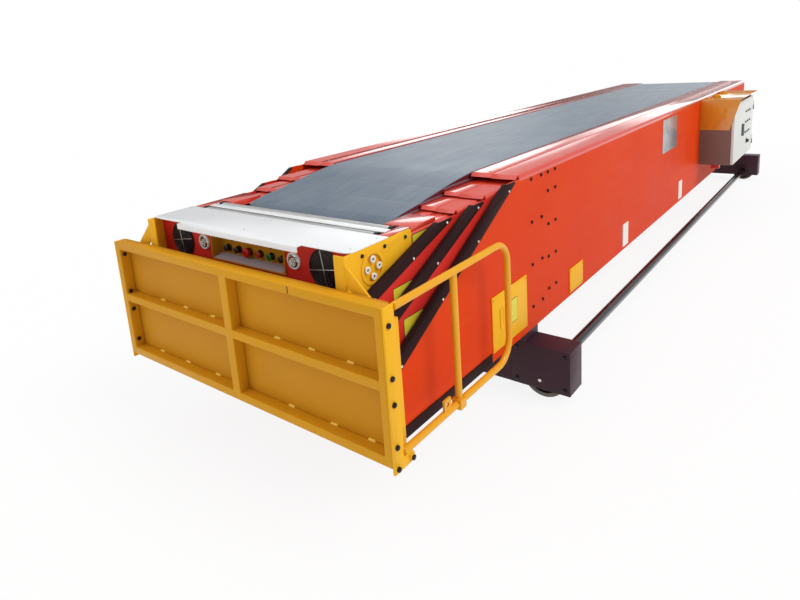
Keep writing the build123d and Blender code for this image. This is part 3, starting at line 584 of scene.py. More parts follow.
class Shape:
    """A mesh under the modeller's hands: a primitive, shaped in edit mode, then dressed."""

    def __init__(self, piece: bpy.types.Object) -> None:
        """Take hold of an object."""
        self.piece = piece

    @classmethod
    def started(cls, name: str) -> Shape:
        """Name the new primitive and put its place into its mesh.

        Args:
            name: name of the piece.

        Returns:
            The piece.
        """
        piece = bpy.context.object
        piece.name = name
        bpy.ops.object.transform_apply(location=True, rotation=True, scale=True)
        return cls(piece)

    @classmethod
    def block(cls, name: str, low: Point, high: Point) -> Shape:
        """Start from a cube between two corners.

        Args:
            name: name of the piece.
            low: lowest corner.
            high: highest corner.

        Returns:
            The piece.
        """
        clear_hands()
        middle = (Vector(low) + Vector(high)) / 2
        bpy.ops.mesh.primitive_cube_add(size=1.0, location=middle, scale=Vector(high) - Vector(low))
        return cls.started(name)

    @classmethod
    def rod(
        cls, name: str, start: Point, axis: Axis, radius: float, length: float, edges: int = ROD_EDGES,
    ) -> Shape:
        """Start from a cylinder that grows one way from its start.

        Args:
            name: name of the piece.
            start: middle of the end that it grows from.
            axis: way that it points.
            radius: its radius.
            length: its length.
            edges: number of facets round it.

        Returns:
            The piece.
        """
        clear_hands()
        middle = Vector(start) + axis.way * length / 2
        bpy.ops.mesh.primitive_cylinder_add(
            vertices=edges, radius=radius, depth=length, location=middle, rotation=axis.turn().to_euler())
        return cls.started(name)

    @classmethod
    def hoop(cls, name: str, middle: Point, axis: Axis, radius: float, wire: float) -> Shape:
        """Start from a ring of round wire.

        Args:
            name: name of the piece.
            middle: middle of the ring.
            axis: way that the ring faces.
            radius: radius of the ring.
            wire: radius of the wire.

        Returns:
            The piece.
        """
        clear_hands()
        bpy.ops.mesh.primitive_torus_add(
            major_radius=radius, minor_radius=wire, major_segments=HOOP_EDGES, minor_segments=WIRE_EDGES,
            location=middle, rotation=axis.turn().to_euler())
        return cls.started(name)

    @classmethod
    def copied(cls, name: str, source: bpy.types.Object) -> Shape:
        """Start from the merged mesh of a solid.

        Args:
            name: name of the piece.
            source: the solid.

        Returns:
            The piece.
        """
        piece = bpy.data.objects.new(name, source.data.copy())
        bpy.context.scene.collection.objects.link(piece)
        shape = cls(piece)
        shape.open()
        bpy.ops.mesh.select_all(action="SELECT")
        bpy.ops.mesh.remove_doubles(threshold=MERGE)
        bpy.ops.mesh.dissolve_limited(angle_limit=COPLANAR)
        return shape

    def open(self) -> Shape:
        """Go into edit mode on this piece alone.

        Returns:
            The piece.
        """
        if self.piece.mode != "EDIT":
            self.close()
            bpy.ops.object.mode_set(mode="EDIT")
        return self

    def close(self) -> Shape:
        """Come back to object mode with this piece alone selected and active.

        Returns:
            The piece.
        """
        clear_hands()
        self.piece.select_set(True)
        bpy.context.view_layer.objects.active = self.piece
        return self

    def faces(self, test: Test) -> Shape:
        """Select the faces whose middle and normal pass a test.

        Args:
            test: what a middle, with the normal or direction, has to pass.

        Returns:
            The piece.
        """
        self.open()
        bpy.ops.mesh.select_mode(type="FACE")
        bpy.ops.mesh.select_all(action="DESELECT")
        cage = bmesh.from_edit_mesh(self.piece.data)
        for face in cage.faces:
            if test(face.calc_center_median(), face.normal):
                face.select_set(True)
        bmesh.update_edit_mesh(self.piece.data)
        return self

    def edges(self, test: Test) -> Shape:
        """Select the edges whose middle and direction pass a test.

        Args:
            test: what a middle, with the normal or direction, has to pass.

        Returns:
            The piece.
        """
        self.open()
        bpy.ops.mesh.select_mode(type="EDGE")
        bpy.ops.mesh.select_all(action="DESELECT")
        cage = bmesh.from_edit_mesh(self.piece.data)
        for edge in cage.edges:
            start, end = (vertex.co for vertex in edge.verts)
            if test((start + end) / 2, (end - start).normalized()):
                edge.select_set(True)
        bmesh.update_edit_mesh(self.piece.data)
        return self

    def inset(self, width: float, depth: float = 0.0) -> Shape:
        """Inset the selected faces, and sink them if the depth is below nought."""
        bpy.ops.mesh.inset(thickness=width, depth=depth)
        return self

    def extrude(self, shift: Point) -> Shape:
        """Extrude the selected faces by a shift."""
        bpy.ops.mesh.extrude_region_move(TRANSFORM_OT_translate={"value": shift})
        return self

    def shift(self, shift: Point) -> Shape:
        """Move what is selected."""
        bpy.ops.transform.translate(value=shift)
        return self

    def resize(self, grow: Point, about: Point) -> Shape:
        """Scale what is selected about a point."""
        bpy.ops.transform.resize(value=grow, center_override=about)
        return self

    def spin(self, middle: Point, angle: float, steps: int) -> Shape:
        """Sweep the selected faces round an axis across the machine."""
        bpy.ops.mesh.spin(steps=steps, angle=angle, center=middle, axis=Axis.RIGHT.value)
        return self

    def bevel(self, width: float, segments: int = CORNER_STEPS) -> Shape:
        """Bevel the selected edges."""
        bpy.ops.mesh.bevel(offset=width, segments=segments, affect="EDGES")
        return self

    def bore(self, axis: Axis, wall: float) -> Shape:
        """Bore a disc through along its axis and leave a wall round the hole.

        Args:
            axis: way that the disc faces.
            wall: width left round the hole.

        Returns:
            The piece.
        """
        self.faces(lambda middle, normal: abs(normal.dot(axis.way)) > FACING).inset(wall)
        bpy.ops.mesh.bridge_edge_loops()
        return self

    def corners(self, axis: Axis, radius: float) -> Shape:
        """Round the corners whose edges run along one axis."""
        return self.edges(lambda middle, run: abs(run.dot(axis.way)) > FACING).bevel(radius)

    def soften(self, radius: float, segments: int = 2) -> Shape:
        """Round every sharp edge with a bevel that is applied.

        Args:
            radius: width of the bevel.
            segments: number of facets across it.

        Returns:
            The piece.
        """
        self.close()
        modifier = self.piece.modifiers.new("rounded", "BEVEL")
        modifier.width = radius
        modifier.segments = segments
        modifier.limit_method = "ANGLE"
        modifier.angle_limit = SHARP
        modifier.use_clamp_overlap = True
        bpy.ops.object.modifier_apply(modifier=modifier.name)
        return self

    def repeat(self, places: list[Matrix]) -> Shape:
        """Copy this piece to each place, every copy with its own mesh, and join the copies.

        Args:
            places: placing of each copy.

        Returns:
            The piece.
        """
        self.close()
        name = self.piece.name
        copies = []
        for place in places:
            copy = bpy.data.objects.new(name, self.piece.data.copy())
            copy.data.transform(place)
            bpy.context.scene.collection.objects.link(copy)
            copies.append(Shape(copy))
        bpy.data.objects.remove(self.piece)
        self.piece = copies[0].piece
        self.join(copies[1:])
        self.piece.name = name
        return self

    def join(self, others: list[Shape]) -> Shape:
        """Join other pieces to this one.

        Args:
            others: the pieces to join on.

        Returns:
            The piece.
        """
        self.close()
        for other in others:
            other.piece.select_set(True)
        if others:
            bpy.ops.object.join()
        return self

    def mirrored(self) -> Shape:
        """Add this piece's mirror image on the other side."""
        return self.repeat([Matrix.Identity(AFFINE), Matrix.Scale(-1.0, AFFINE, Axis.RIGHT.way)])


class Finishes:
    """The shop's finishes, each made once, and the dressing of pieces with them."""

    # Solids whose finish differs from the one of their slot
    OWN_LOOK = {
        "base_top": Look.COVER_RED,
        "stage1_top": Look.COVER_RED,
        "stage2_top": Look.COVER_RED,
        "stage3_top": Look.COVER_RED,
        # The floor sheet, frame and control box take darker yellows of painted shade
        "platform_floor": Look.SHADED_SHEET_YELLOW,
        "platform_frame": Look.SHADED_FRAME_YELLOW,
        "control_box": Look.SHADED_BOX_YELLOW,
        "handrail": Look.RAIL_YELLOW,
        "cabinet_tray": Look.TRAY_YELLOW,
        # The cabinet box takes a grey-brown of painted shade and painted reflection
        "cabinet_box": Look.SHADED_CABINET_BROWN,
    }
    SLOT_LOOK = {
        "body_red": Look.BODY_RED,
        "stage_red": Look.STAGE_RED,
        "safety_yellow": Look.SAFETY_YELLOW,
        "edge_black": Look.EDGE_BLACK,
        "belt_grey": Look.BELT_GREY,
        "bright_plate": Look.BRIGHT_PLATE,
        "roller_steel": Look.ROLLER_STEEL,
        "gear_dark": Look.GEAR_DARK,
        "wheel_steel": Look.WHEEL_STEEL,
        "shaft_steel": Look.SHAFT_STEEL,
        "cabinet_grey": Look.CABINET_GREY,
        "lamp_white": Look.LAMP_WHITE,
        "guard_dark": Look.GUARD_DARK,
        "button_mix": Look.CAP_BLACK,
    }

    def __init__(self, frame: dict[str, Any]) -> None:
        """Build each material and note the look and body of every solid.

        Args:
            frame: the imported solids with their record.
        """
        self.made = {look: look.recipe.material() for look in Look}
        self.nodes: Nodes = frame["nodes"]
        slots = {entry["node"]: entry["material_slot"] for entry in frame["record"]["subparts"]}
        self.looks = {node: self.OWN_LOOK.get(node, self.SLOT_LOOK[slot]) for node, slot in slots.items()}
        groups = frame["record"]["behaviour"]["bodies"]
        self.bodies = {node: body for body, members in groups.items() for node in members}

    def dress_nodes(self) -> None:
        """Give every solid its finish."""
        for node, look in self.looks.items():
            for slot in self.nodes[node].material_slots:
                slot.material = self.made[look]
            LOG.info("solid %s: %s", node, look.recipe.name)

    def dress(self, shape: Shape, look: Look, body: str, *nodes: str) -> None:
        """Finish a new piece and hang it on its body.

        Args:
            shape: the piece.
            look: its finish.
            body: name of the body that it rides on.
            nodes: solids that it stands for.
        """
        shape.open()
        bpy.ops.mesh.select_all(action="SELECT")
        bpy.ops.mesh.normals_make_consistent(inside=False)
        shape.close()
        bpy.ops.object.shade_smooth_by_angle(angle=SHARP)
        piece = shape.piece
        piece.data.materials.clear()
        piece.data.materials.append(self.made[look])
        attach(piece, body)
        if nodes:
            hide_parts(*nodes)
        LOG.info("piece %s: %s", piece.name, look.recipe.name)

    def edged(self, node: str, radius: float) -> None:
        """Stand a copy with rounded edges in the place of a solid."""
        shape = Shape.copied(f"{node}_edged", self.nodes[node]).soften(radius)
        self.dress(shape, self.looks[node], self.bodies[node], node)


class HeadKind(Enum):
    """Heads of screws and bolts, with the number of edges round each."""

    HEXAGON = 6
    SOCKET = 18
    DOME = 16


@dataclass(frozen=True)
class Screw:
    """Head of a screw or bolt, modelled once and copied to its places; the later sizes are shares of it."""

    kind: HeadKind
    radius: float
    height: float
    chamfer: float = 0.15
    socket: float = 0.35
    socket_depth: float = 0.6
    draft: float = 0.02
    crown: float = 0.3
    crown_top: float = 0.15
    washer_radius: float = 1.4
    washer_height: float = 0.25
    washer_edges: int = 20

    def model(self, name: str) -> Shape:
        """Shape one head upright at the origin: dome, sunk socket, or chamfered hexagon on a washer.

        Args:
            name: name of the piece.

        Returns:
            The piece.
        """
        head = Shape.rod(name, ORIGIN, Axis.UP, self.radius, self.height, self.kind.value)
        head.faces(facing(Axis.UP))
        if self.kind is HeadKind.DOME:
            head.inset(self.crown * self.radius, self.crown * self.height)
            return head.inset(self.crown * self.radius, self.crown_top * self.height)
        head.inset(self.chamfer * self.radius, self.chamfer * self.height)
        if self.kind is HeadKind.SOCKET:
            head.inset(self.socket * self.radius)
            return head.inset(self.draft * self.radius, -self.socket_depth * self.height)
        return head.join([self.washer(name)])

    def washer(self, name: str) -> Shape:
        """Shape the washer under a hexagon head.

        Args:
            name: name of the piece.

        Returns:
            The piece.
        """
        height = self.washer_height * self.height
        plate = Shape.rod(
            f"{name}_washer", ORIGIN, Axis.UP, self.washer_radius * self.radius, height, self.washer_edges)
        return plate.faces(facing(Axis.UP)).inset(self.chamfer * self.radius, self.chamfer * height)

    def fixed(self, name: str, places: list[Matrix]) -> Shape:
        """Copy the head to its places."""
        return self.model(name).repeat(places)


@dataclass
class SheetEdges:
    """Folded and welded steel pieces with the rounded edges that bending, grinding and coating leave."""

    radii: tuple[tuple[str, float], ...] = (
        ("base_top", 1.2 * MM),
        ("stage1_top", 1.2 * MM),
        ("stage2_top", 1.2 * MM),
        ("base_edge_strips", 1.5 * MM),
        ("stage1_edge_strips", 1.5 * MM),
        ("stage2_edge_strips", 1.5 * MM),
        ("access_panels", 1.5 * MM),
        ("base_rear_plate", 1.5 * MM),
        ("cross_beams", 2.5 * MM),
        ("control_box", 1.2 * MM),
        ("platform_hangers", 2.0 * MM),
        ("platform_frame", 2.5 * MM),
        ("platform_side_plates", 2.0 * MM),
        ("cabinet_box", 1.2 * MM),
        ("cabinet_door", 2.0 * MM),
        ("cabinet_tray", 1.0 * MM),
        ("wheel_front_right", 3.0 * MM),
        ("wheel_rear_right", 3.0 * MM),
        ("wheel_front_left", 3.0 * MM),
        ("wheel_rear_left", 3.0 * MM),
    )

    def build(self, finishes: Finishes) -> None:
        """Stand a copy with rounded edges in the place of each piece."""
        for node, radius in self.radii:
            finishes.edged(node, radius)


@dataclass
class BeltRuns:
    """Stretches of belt: each runs down onto the next over rubber wedges whose dark maroon is painted shade,
    and the ends go round the drums.
    """

    thickness: float = 4.0 * MM
    tip: float = 0.2 * MM
    tip_gap: float = 0.2 * MM
    return_run: float = 100.0 * MM
    apron_steps: int = 12
    drum_steps: int = 20
    # Share of each apron's fall that is even along its way; the rest grows towards its end
    even_falls: tuple[float, ...] = (0.6, 0.9, 0.8)
    # Wedges under the aprons' sides: their dark maroon is painted shade of the gap under the belt's edges
    skirt: float = 3.0 * MM
    skirt_inset: float = 1.0 * MM
    skirt_gap: float = 1.2 * MM
    skirt_share: float = 0.85
    sections: tuple[str, ...] = ("base", "stage1", "stage2", "stage3")

    def build(self, finishes: Finishes) -> None:
        """Model the four stretches, each in the place of its solid, and the skirts.

        Args:
            finishes: the shop's finishes.
        """
        head = self.drum("head_drum")
        tail = self.drum("tail_drum")
        for index, section in enumerate(self.sections):
            node = f"{section}_belt"
            low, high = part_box(node)
            last = index + 1 == len(self.sections)
            front = head.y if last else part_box(f"{section}_top")[0].y
            rear = high.y if index else tail.y
            run = Shape.block(f"{node}_run", (low.x, front, high.z - self.thickness), (high.x, rear, high.z))
            if last:
                run.faces(facing(Axis.FRONT)).spin(head, -math.pi, self.drum_steps)
                run.extrude((0.0, self.return_run, 0.0))
            else:
                top = Vector((high.x, front, high.z))
                landing = Vector((high.x, low.y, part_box(f"{self.sections[index + 1]}_belt")[1].z))
                self.apron(run, top, landing, self.even_falls[index])
            if index == 0:
                run.faces(facing(Axis.REAR)).spin(tail, math.pi, self.drum_steps)
                run.extrude((0.0, -self.return_run, 0.0))
            finishes.dress(run, Look.BELT_GREY, finishes.bodies[node], node)
            if not last:
                # Maroon wedges under the apron: painted shade
                shade_skirts = self.shade_skirts(section, top, landing, self.even_falls[index])
                finishes.dress(shade_skirts, Look.SHADE_MAROON, finishes.bodies[node])

    def drum(self, node: str) -> Vector:
        """Middle of a drum."""
        low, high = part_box(node)
        return (low + high) / 2

    def apron(self, run: Shape, top: Vector, landing: Vector, even: float) -> None:
        """Draw the front end down to the next stretch, thinning to its tip.

        Args:
            run: the stretch.
            top: upper edge where the slope starts.
            landing: place on the next stretch where it ends.
            even: share of the fall that is even along the way.
        """
        step = (landing.y - top.y) / self.apron_steps
        run.faces(facing(Axis.FRONT))
        level = top.z
        for number in range(1, self.apron_steps + 1):
            share = number / self.apron_steps
            next_level = self.level(top, landing, even, share)
            thinner = self.thick(share) / self.thick(share - 1 / self.apron_steps)
            run.extrude((0.0, step, next_level - level))
            run.resize((1.0, 1.0, thinner), (0.0, top.y + step * number, next_level))
            level = next_level

    def level(self, top: Vector, landing: Vector, even: float, share: float) -> float:
        """Height of an apron's upper face at a share of its way down."""
        drop = top.z - landing.z - self.tip - self.tip_gap
        return top.z - drop * (even * share + (1 - even) * share * share)

    def thick(self, share: float) -> float:
        """Thickness of an apron at a share of its way down."""
        return self.thickness + (self.tip - self.thickness) * share

    def shade_skirts(self, section: str, top: Vector, landing: Vector, even: float) -> Shape:
        """Model the pair of wedges that close the sides under an apron, in a dark maroon that is painted
        shade.

        Args:
            section: section that carries the apron.
            top: upper edge where the apron starts.
            landing: place on the next stretch where it ends.
            even: share of its fall that is even along the way.

        Returns:
            The piece.
        """
        outer = top.x - self.skirt_inset
        front = top.y + (landing.y - top.y) * self.skirt_share
        under = top.z - self.thickness
        skirt = Shape.block(
            f"{section}_belt_shade_skirts",
            (outer - self.skirt, front, landing.z + self.skirt_gap), (outer, top.y, under))
        skirt.edges(
            lambda middle, run: abs(run.x) > FACING and middle.y < front + MM and middle.z > under - MM)
        end = self.level(top, landing, even, self.skirt_share) - self.thick(self.skirt_share)
        skirt.shift((0.0, 0.0, end - under))
        return skirt.mirrored()


class Lap(NamedTuple):
    """Lapped sheet on one section's covers: its seam, the levels of cover and belt bed, and its front lip."""

    section: str
    seam: float
    cover: float
    bed: float
    reach: float
    drop: float


@dataclass
class CoverLaps:
    """Upper sheets lapped over the inner half of the side covers, their front lips and the belt seals, whose
    dark maroon is painted shade beside the belt.
    """

    sheet_gap: float = 13.0 * MM
    # Seals beside the belt, dark maroon as painted shade
    seal_gap: float = 2.5 * MM
    sheet: float = 2.0 * MM
    round_off: float = 0.6 * MM
    lip_seat: float = 0.5 * MM
    bend: float = 8.0 * MM
    seal_rise: float = 1.5 * MM
    seal_round: float = 0.5 * MM
    pad_clear: float = 8.0 * MM
    pad_rear: float = -3.109
    screw: Screw = Screw(HeadKind.DOME, 4.5 * MM, 2.0 * MM)
    screw_pitch: float = 0.6
    screw_inset: float = 0.03
    laps: tuple[Lap, ...] = (
        Lap("base", 0.510, 1.031, 1.025, 20.0 * MM, 15.0 * MM),
        Lap("stage1", 0.486, 0.993, 1.001, 14.0 * MM, 12.0 * MM),
        Lap("stage2", 0.484, 0.973, 0.977, 14.0 * MM, 12.0 * MM),
        Lap("stage3", 0.474, 0.953, 0.956, 4.0 * MM, 1.0 * MM),
    )

    def build(self, finishes: Finishes) -> None:
        """Model the sheets, lips, screws and the seals, whose maroon is painted shade, of every section.

        Args:
            finishes: the shop's finishes.
        """
        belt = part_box("base_belt")[1].x
        inner = belt + self.sheet_gap
        for lap in self.laps:
            node = f"{lap.section}_top"
            low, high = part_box(node)
            body = finishes.bodies[node]
            front = low.y
            if lap.section == "stage3":
                front = self.pad_rear + self.pad_clear
            else:
                finishes.dress(self.lips(lap, front, high.x - self.bend), Look.COVER_RED, body)
            finishes.dress(self.sheets(lap, inner, front, high.y), Look.COVER_RED, body)
            # Dark maroon seals beside the belt: painted shade of the gap between belt and covers
            crown = max(lap.cover + self.seal_rise, lap.bed - self.seal_round)
            seal = Shape.block(
                f"{lap.section}_belt_shade_seals",
                (belt + self.seal_gap, front, lap.cover), (inner - self.seal_round, high.y, crown))
            finishes.dress(seal.soften(self.seal_round).mirrored(), Look.SHADE_MAROON, body)
        self.fix_base(finishes)

    def sheets(self, lap: Lap, inner: float, front: float, rear: float) -> Shape:
        """Model one section's pair of sheets with their fronts folded down.

        Args:
            lap: sizes of the section's sheets.
            inner: how far the inner edge lies from the middle.
            front: station of the front edge.
            rear: station of the rear edge.

        Returns:
            The piece.
        """
        plate = Shape.block(
            f"{lap.section}_cover_laps",
            (inner, front, lap.cover), (lap.seam, rear, lap.cover + self.sheet))
        plate.faces(facing(Axis.FRONT)).extrude((0.0, -lap.reach, -lap.drop))
        return plate.soften(self.round_off).mirrored()

    def lips(self, lap: Lap, front: float, outer: float) -> Shape:
        """Model the folded fronts of the outer halves of one section's covers.

        Args:
            lap: sizes of the section's sheets.
            front: station of the front edge.
            outer: how far the outer edge lies from the middle.

        Returns:
            The piece.
        """
        level = lap.cover - self.lip_seat
        lip = Shape.block(
            f"{lap.section}_cover_lips",
            (lap.seam, front - self.sheet, level - self.sheet), (outer, front, level))
        lip.faces(facing(Axis.FRONT)).extrude((0.0, self.sheet - lap.reach, -lap.drop))
        return lip.soften(self.round_off).mirrored()

    def fix_base(self, finishes: Finishes) -> None:
        """Screw the base sheets down in rows along the machine.

        Args:
            finishes: the shop's finishes.
        """
        low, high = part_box("base_top")
        base = self.laps[0]
        count = int((high.y - low.y) / self.screw_pitch)
        x = base.seam - self.screw_inset
        start = low.y + self.screw_inset
        level = base.cover + self.sheet
        placings = [
            Axis.UP.at((side * x, start + self.screw_pitch * step, level))
            for step in range(count + 1) for side in (-1, 1)
        ]
        finishes.dress(self.screw.fixed("base_cover_screws", placings), Look.ZINC, "base")


class ScrewRow(NamedTuple):
    """Screws along one sloped strip: station and level of the first, the step to the next, their number."""

    section: str
    first: tuple[float, float]
    step: tuple[float, float]
    count: int


class Panel(NamedTuple):
    """Outline of something flat on a side wall."""

    front: float
    rear: float
    low: float
    high: float


class Plate(NamedTuple):
    """Blank plate or label on a right wall or panel, and its mirror image on the left."""

    name: str
    look: Look
    node: str
    outline: Panel
    depth: float = 1.0 * MM


@dataclass
class SideWalls:
    """Screws, bolts and blank plates on the walls of the base and of the sliding sections."""

    strip_screw: Screw = Screw(HeadKind.DOME, 4.5 * MM, 2.0 * MM)
    wall_bolt: Screw = Screw(HeadKind.SOCKET, 7.5 * MM, 5.0 * MM)
    panel_screw: Screw = Screw(HeadKind.DOME, 4.5 * MM, 2.5 * MM)
    panel_inset: float = 12.0 * MM
    corner: float = 6.0 * MM
    border: float = 2.5 * MM
    border_depth: float = 0.5 * MM
    rows: tuple[ScrewRow, ...] = (
        ScrewRow("base", (-2.717, 0.986), (-0.256, -0.138), 4),
        ScrewRow("stage1", (-2.910, 0.961), (-0.292, -0.132), 3),
        ScrewRow("stage2", (-3.088, 0.945), (-0.216, -0.071), 3),
    )
    # Stations of the bolt columns on the base, with the heights of their bolts
    columns: tuple[tuple[float, tuple[float, ...]], ...] = (
        (-2.507, (0.994, 0.803, 0.608, 0.410)),
        (-2.407, (0.994, 0.803, 0.608, 0.410)),
        (-2.337, (0.994, 0.908, 0.752, 0.596, 0.439)),
        (-2.257, (0.994, 0.908, 0.752, 0.596, 0.439)),
    )
    plates: tuple[Plate, ...] = (
        Plate("stage3_wall_plates", Look.LIME_PLATE, "stage3_walls", Panel(-3.260, -3.120, 0.860, 0.940)),
        Plate("stage2_wall_plates", Look.LIME_PLATE, "stage2_walls", Panel(-3.420, -3.305, 0.700, 0.800)),
        Plate("stage1_wall_plates", Look.LIME_PLATE, "stage1_walls", Panel(-3.410, -3.300, 0.560, 0.695)),
        Plate("access_panel_plates", Look.LIME_PLATE, "access_panels", Panel(-2.738, -2.672, 0.420, 0.520)),
        Plate("front_labels", Look.WHITE_LABEL, "base_walls", Panel(-1.275, -1.175, 0.327, 0.467)),
        Plate("middle_labels", Look.WHITE_LABEL, "base_walls", Panel(0.025, 0.125, 0.327, 0.467)),
        Plate(
            "bare_wall_plates", Look.BARE_PLATE, "base_walls", Panel(-0.455, -0.085, 0.757, 0.990), 2.0 * MM),
    )
    panels: tuple[Panel, ...] = (
        Panel(-2.885, -2.577, 0.347, 0.585),
        Panel(-2.097, -1.925, 0.327, 0.452),
    )
    latch: Panel = Panel(-2.826, -2.794, 0.430, 0.520)
    latch_height: float = 4.0 * MM
    latch_rim: float = 4.0 * MM
    latch_draft: float = 1.0 * MM
    latch_depth: float = 3.0 * MM
    latch_round: float = 0.6 * MM

    def build(self, finishes: Finishes) -> None:
        """Model every fitting of the walls.

        Args:
            finishes: the shop's finishes.
        """
        for row in self.rows:
            strips = f"{row.section}_edge_strips"
            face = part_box(strips)[1].x
            (station, level), (along, rise) = row.first, row.step
            places = [(face, station + along * step, level + rise * step) for step in range(row.count)]
            shape = self.strip_screw.fixed(f"{row.section}_strip_screws", sides(places, Axis.RIGHT))
            finishes.dress(shape, Look.WHITE_CAP, finishes.bodies[strips])
        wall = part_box("base_walls")[1].x
        bolts = [(wall, y, z) for y, heights in self.columns for z in heights]
        shape = self.wall_bolt.fixed("base_wall_bolts", sides(bolts, Axis.RIGHT))
        finishes.dress(shape, Look.BLACK_BOLT, "base")
        for plate in self.plates:
            self.dress_plate(finishes, plate)
        self.dress_panels(finishes)

    def dress_plate(self, finishes: Finishes, plate: Plate) -> None:
        """Model one pair of plates, the lime ones with a dark border under them.

        Args:
            finishes: the shop's finishes.
            plate: the plate.
        """
        shape = self.slab(plate.name, plate.node, plate.outline, plate.depth)
        shape.corners(Axis.RIGHT, self.corner)
        finishes.dress(shape.mirrored(), plate.look, finishes.bodies[plate.node])
        if plate.look is Look.LIME_PLATE:
            front, rear, low, high = plate.outline
            outline = Panel(
                front - self.border, rear + self.border, low - self.border, high + self.border)
            shape = self.slab(f"{plate.name}_border", plate.node, outline, self.border_depth)
            shape.corners(Axis.RIGHT, self.corner + self.border)
            finishes.dress(shape.mirrored(), Look.PLATE_BORDER, finishes.bodies[plate.node])

    def slab(self, name: str, node: str, outline: Panel, depth: float) -> Shape:
        """Start a flat piece on the right face of a solid.

        Args:
            name: name of the piece.
            node: the solid.
            outline: outline of the piece.
            depth: its thickness.

        Returns:
            The piece.
        """
        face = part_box(node)[1].x
        return Shape.block(
            name, (face, outline.front, outline.low), (face + depth, outline.rear, outline.high))

    def dress_panels(self, finishes: Finishes) -> None:
        """Model the pull latches and the corner screws of the access panels.

        Args:
            finishes: the shop's finishes.
        """
        latch = self.slab("access_panel_latches", "access_panels", self.latch, self.latch_height)
        latch.faces(facing(Axis.RIGHT)).inset(self.latch_rim).inset(self.latch_draft, -self.latch_depth)
        finishes.dress(latch.soften(self.latch_round).mirrored(), Look.SAFETY_YELLOW, "base")
        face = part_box("access_panels")[1].x
        places = [
            (face, y, z) for panel in self.panels
            for y in (panel.front + self.panel_inset, panel.rear - self.panel_inset)
            for z in (panel.low + self.panel_inset, panel.high - self.panel_inset)
        ]
        shape = self.panel_screw.fixed("access_panel_screws", sides(places, Axis.RIGHT))
        finishes.dress(shape, Look.RAIL_YELLOW, "base")


@dataclass
class HeadPlate:
    """Bright plate on the head with its screws, the lids behind it and the flanges beside the rollers."""

    edge: float = 1.2 * MM
    corner: float = 28.0 * MM
    corner_steps: int = 6
    corner_zone: float = 0.1
    screw: Screw = Screw(HeadKind.DOME, 3.5 * MM, 1.2 * MM)
    screw_columns: tuple[float, ...] = (-0.52, 0.0, 0.52)
    screw_setbacks: tuple[float, ...] = (0.06, 0.19)
    flange_low: Point = (0.497, -3.388, 0.9672)
    flange_high: Point = (0.5395, -3.2635, 0.9692)
    flange_corner: float = 12.0 * MM
    flange_round: float = 0.6 * MM
    lid_low: Point = (0.4265, -3.2605, 0.9535)
    lid_high: Point = (0.5415, -3.1075, 0.9690)
    lid_wall: float = 1.2 * MM
    lid_draft: float = 0.05 * MM
    lid_sheet: float = 1.6 * MM
    lid_round: float = 0.4 * MM
    body: str = "stage_3"

    def build(self, finishes: Finishes) -> None:
        """Round the plate's front corners and edges, screw it down and model what lies round it.

        Args:
            finishes: the shop's finishes.
        """
        low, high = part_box("head_top_plate")
        plate = Shape.copied("head_top_plate_edged", finishes.nodes["head_top_plate"])
        far = high.x - self.edge
        zone = low.y + self.corner_zone
        plate.edges(lambda middle, run: abs(run.z) > FACING and abs(middle.x) > far and middle.y < zone)
        plate.bevel(self.corner, self.corner_steps)
        finishes.dress(plate.soften(self.edge), Look.BRIGHT_PLATE, self.body, "head_top_plate")
        placings = [
            Axis.UP.at((x, low.y + setback, high.z))
            for x in self.screw_columns for setback in self.screw_setbacks
        ]
        finishes.dress(self.screw.fixed("head_plate_screws", placings), Look.ZINC, self.body)
        flange = Shape.block("head_roller_flanges", self.flange_low, self.flange_high)
        flange.edges(lambda middle, run: abs(run.z) > FACING and middle.x < self.flange_low[0] + self.edge)
        flange.bevel(self.flange_corner)
        finishes.dress(flange.soften(self.flange_round).mirrored(), Look.COVER_RED, self.body)
        lid = Shape.block("head_pad_lids", self.lid_low, self.lid_high)
        depth = self.lid_high[2] - self.lid_low[2] - self.lid_sheet
        lid.faces(facing(Axis.DOWN)).inset(self.lid_wall).inset(self.lid_draft, -depth)
        finishes.dress(lid.soften(self.lid_round).mirrored(), Look.COVER_RED, self.body)


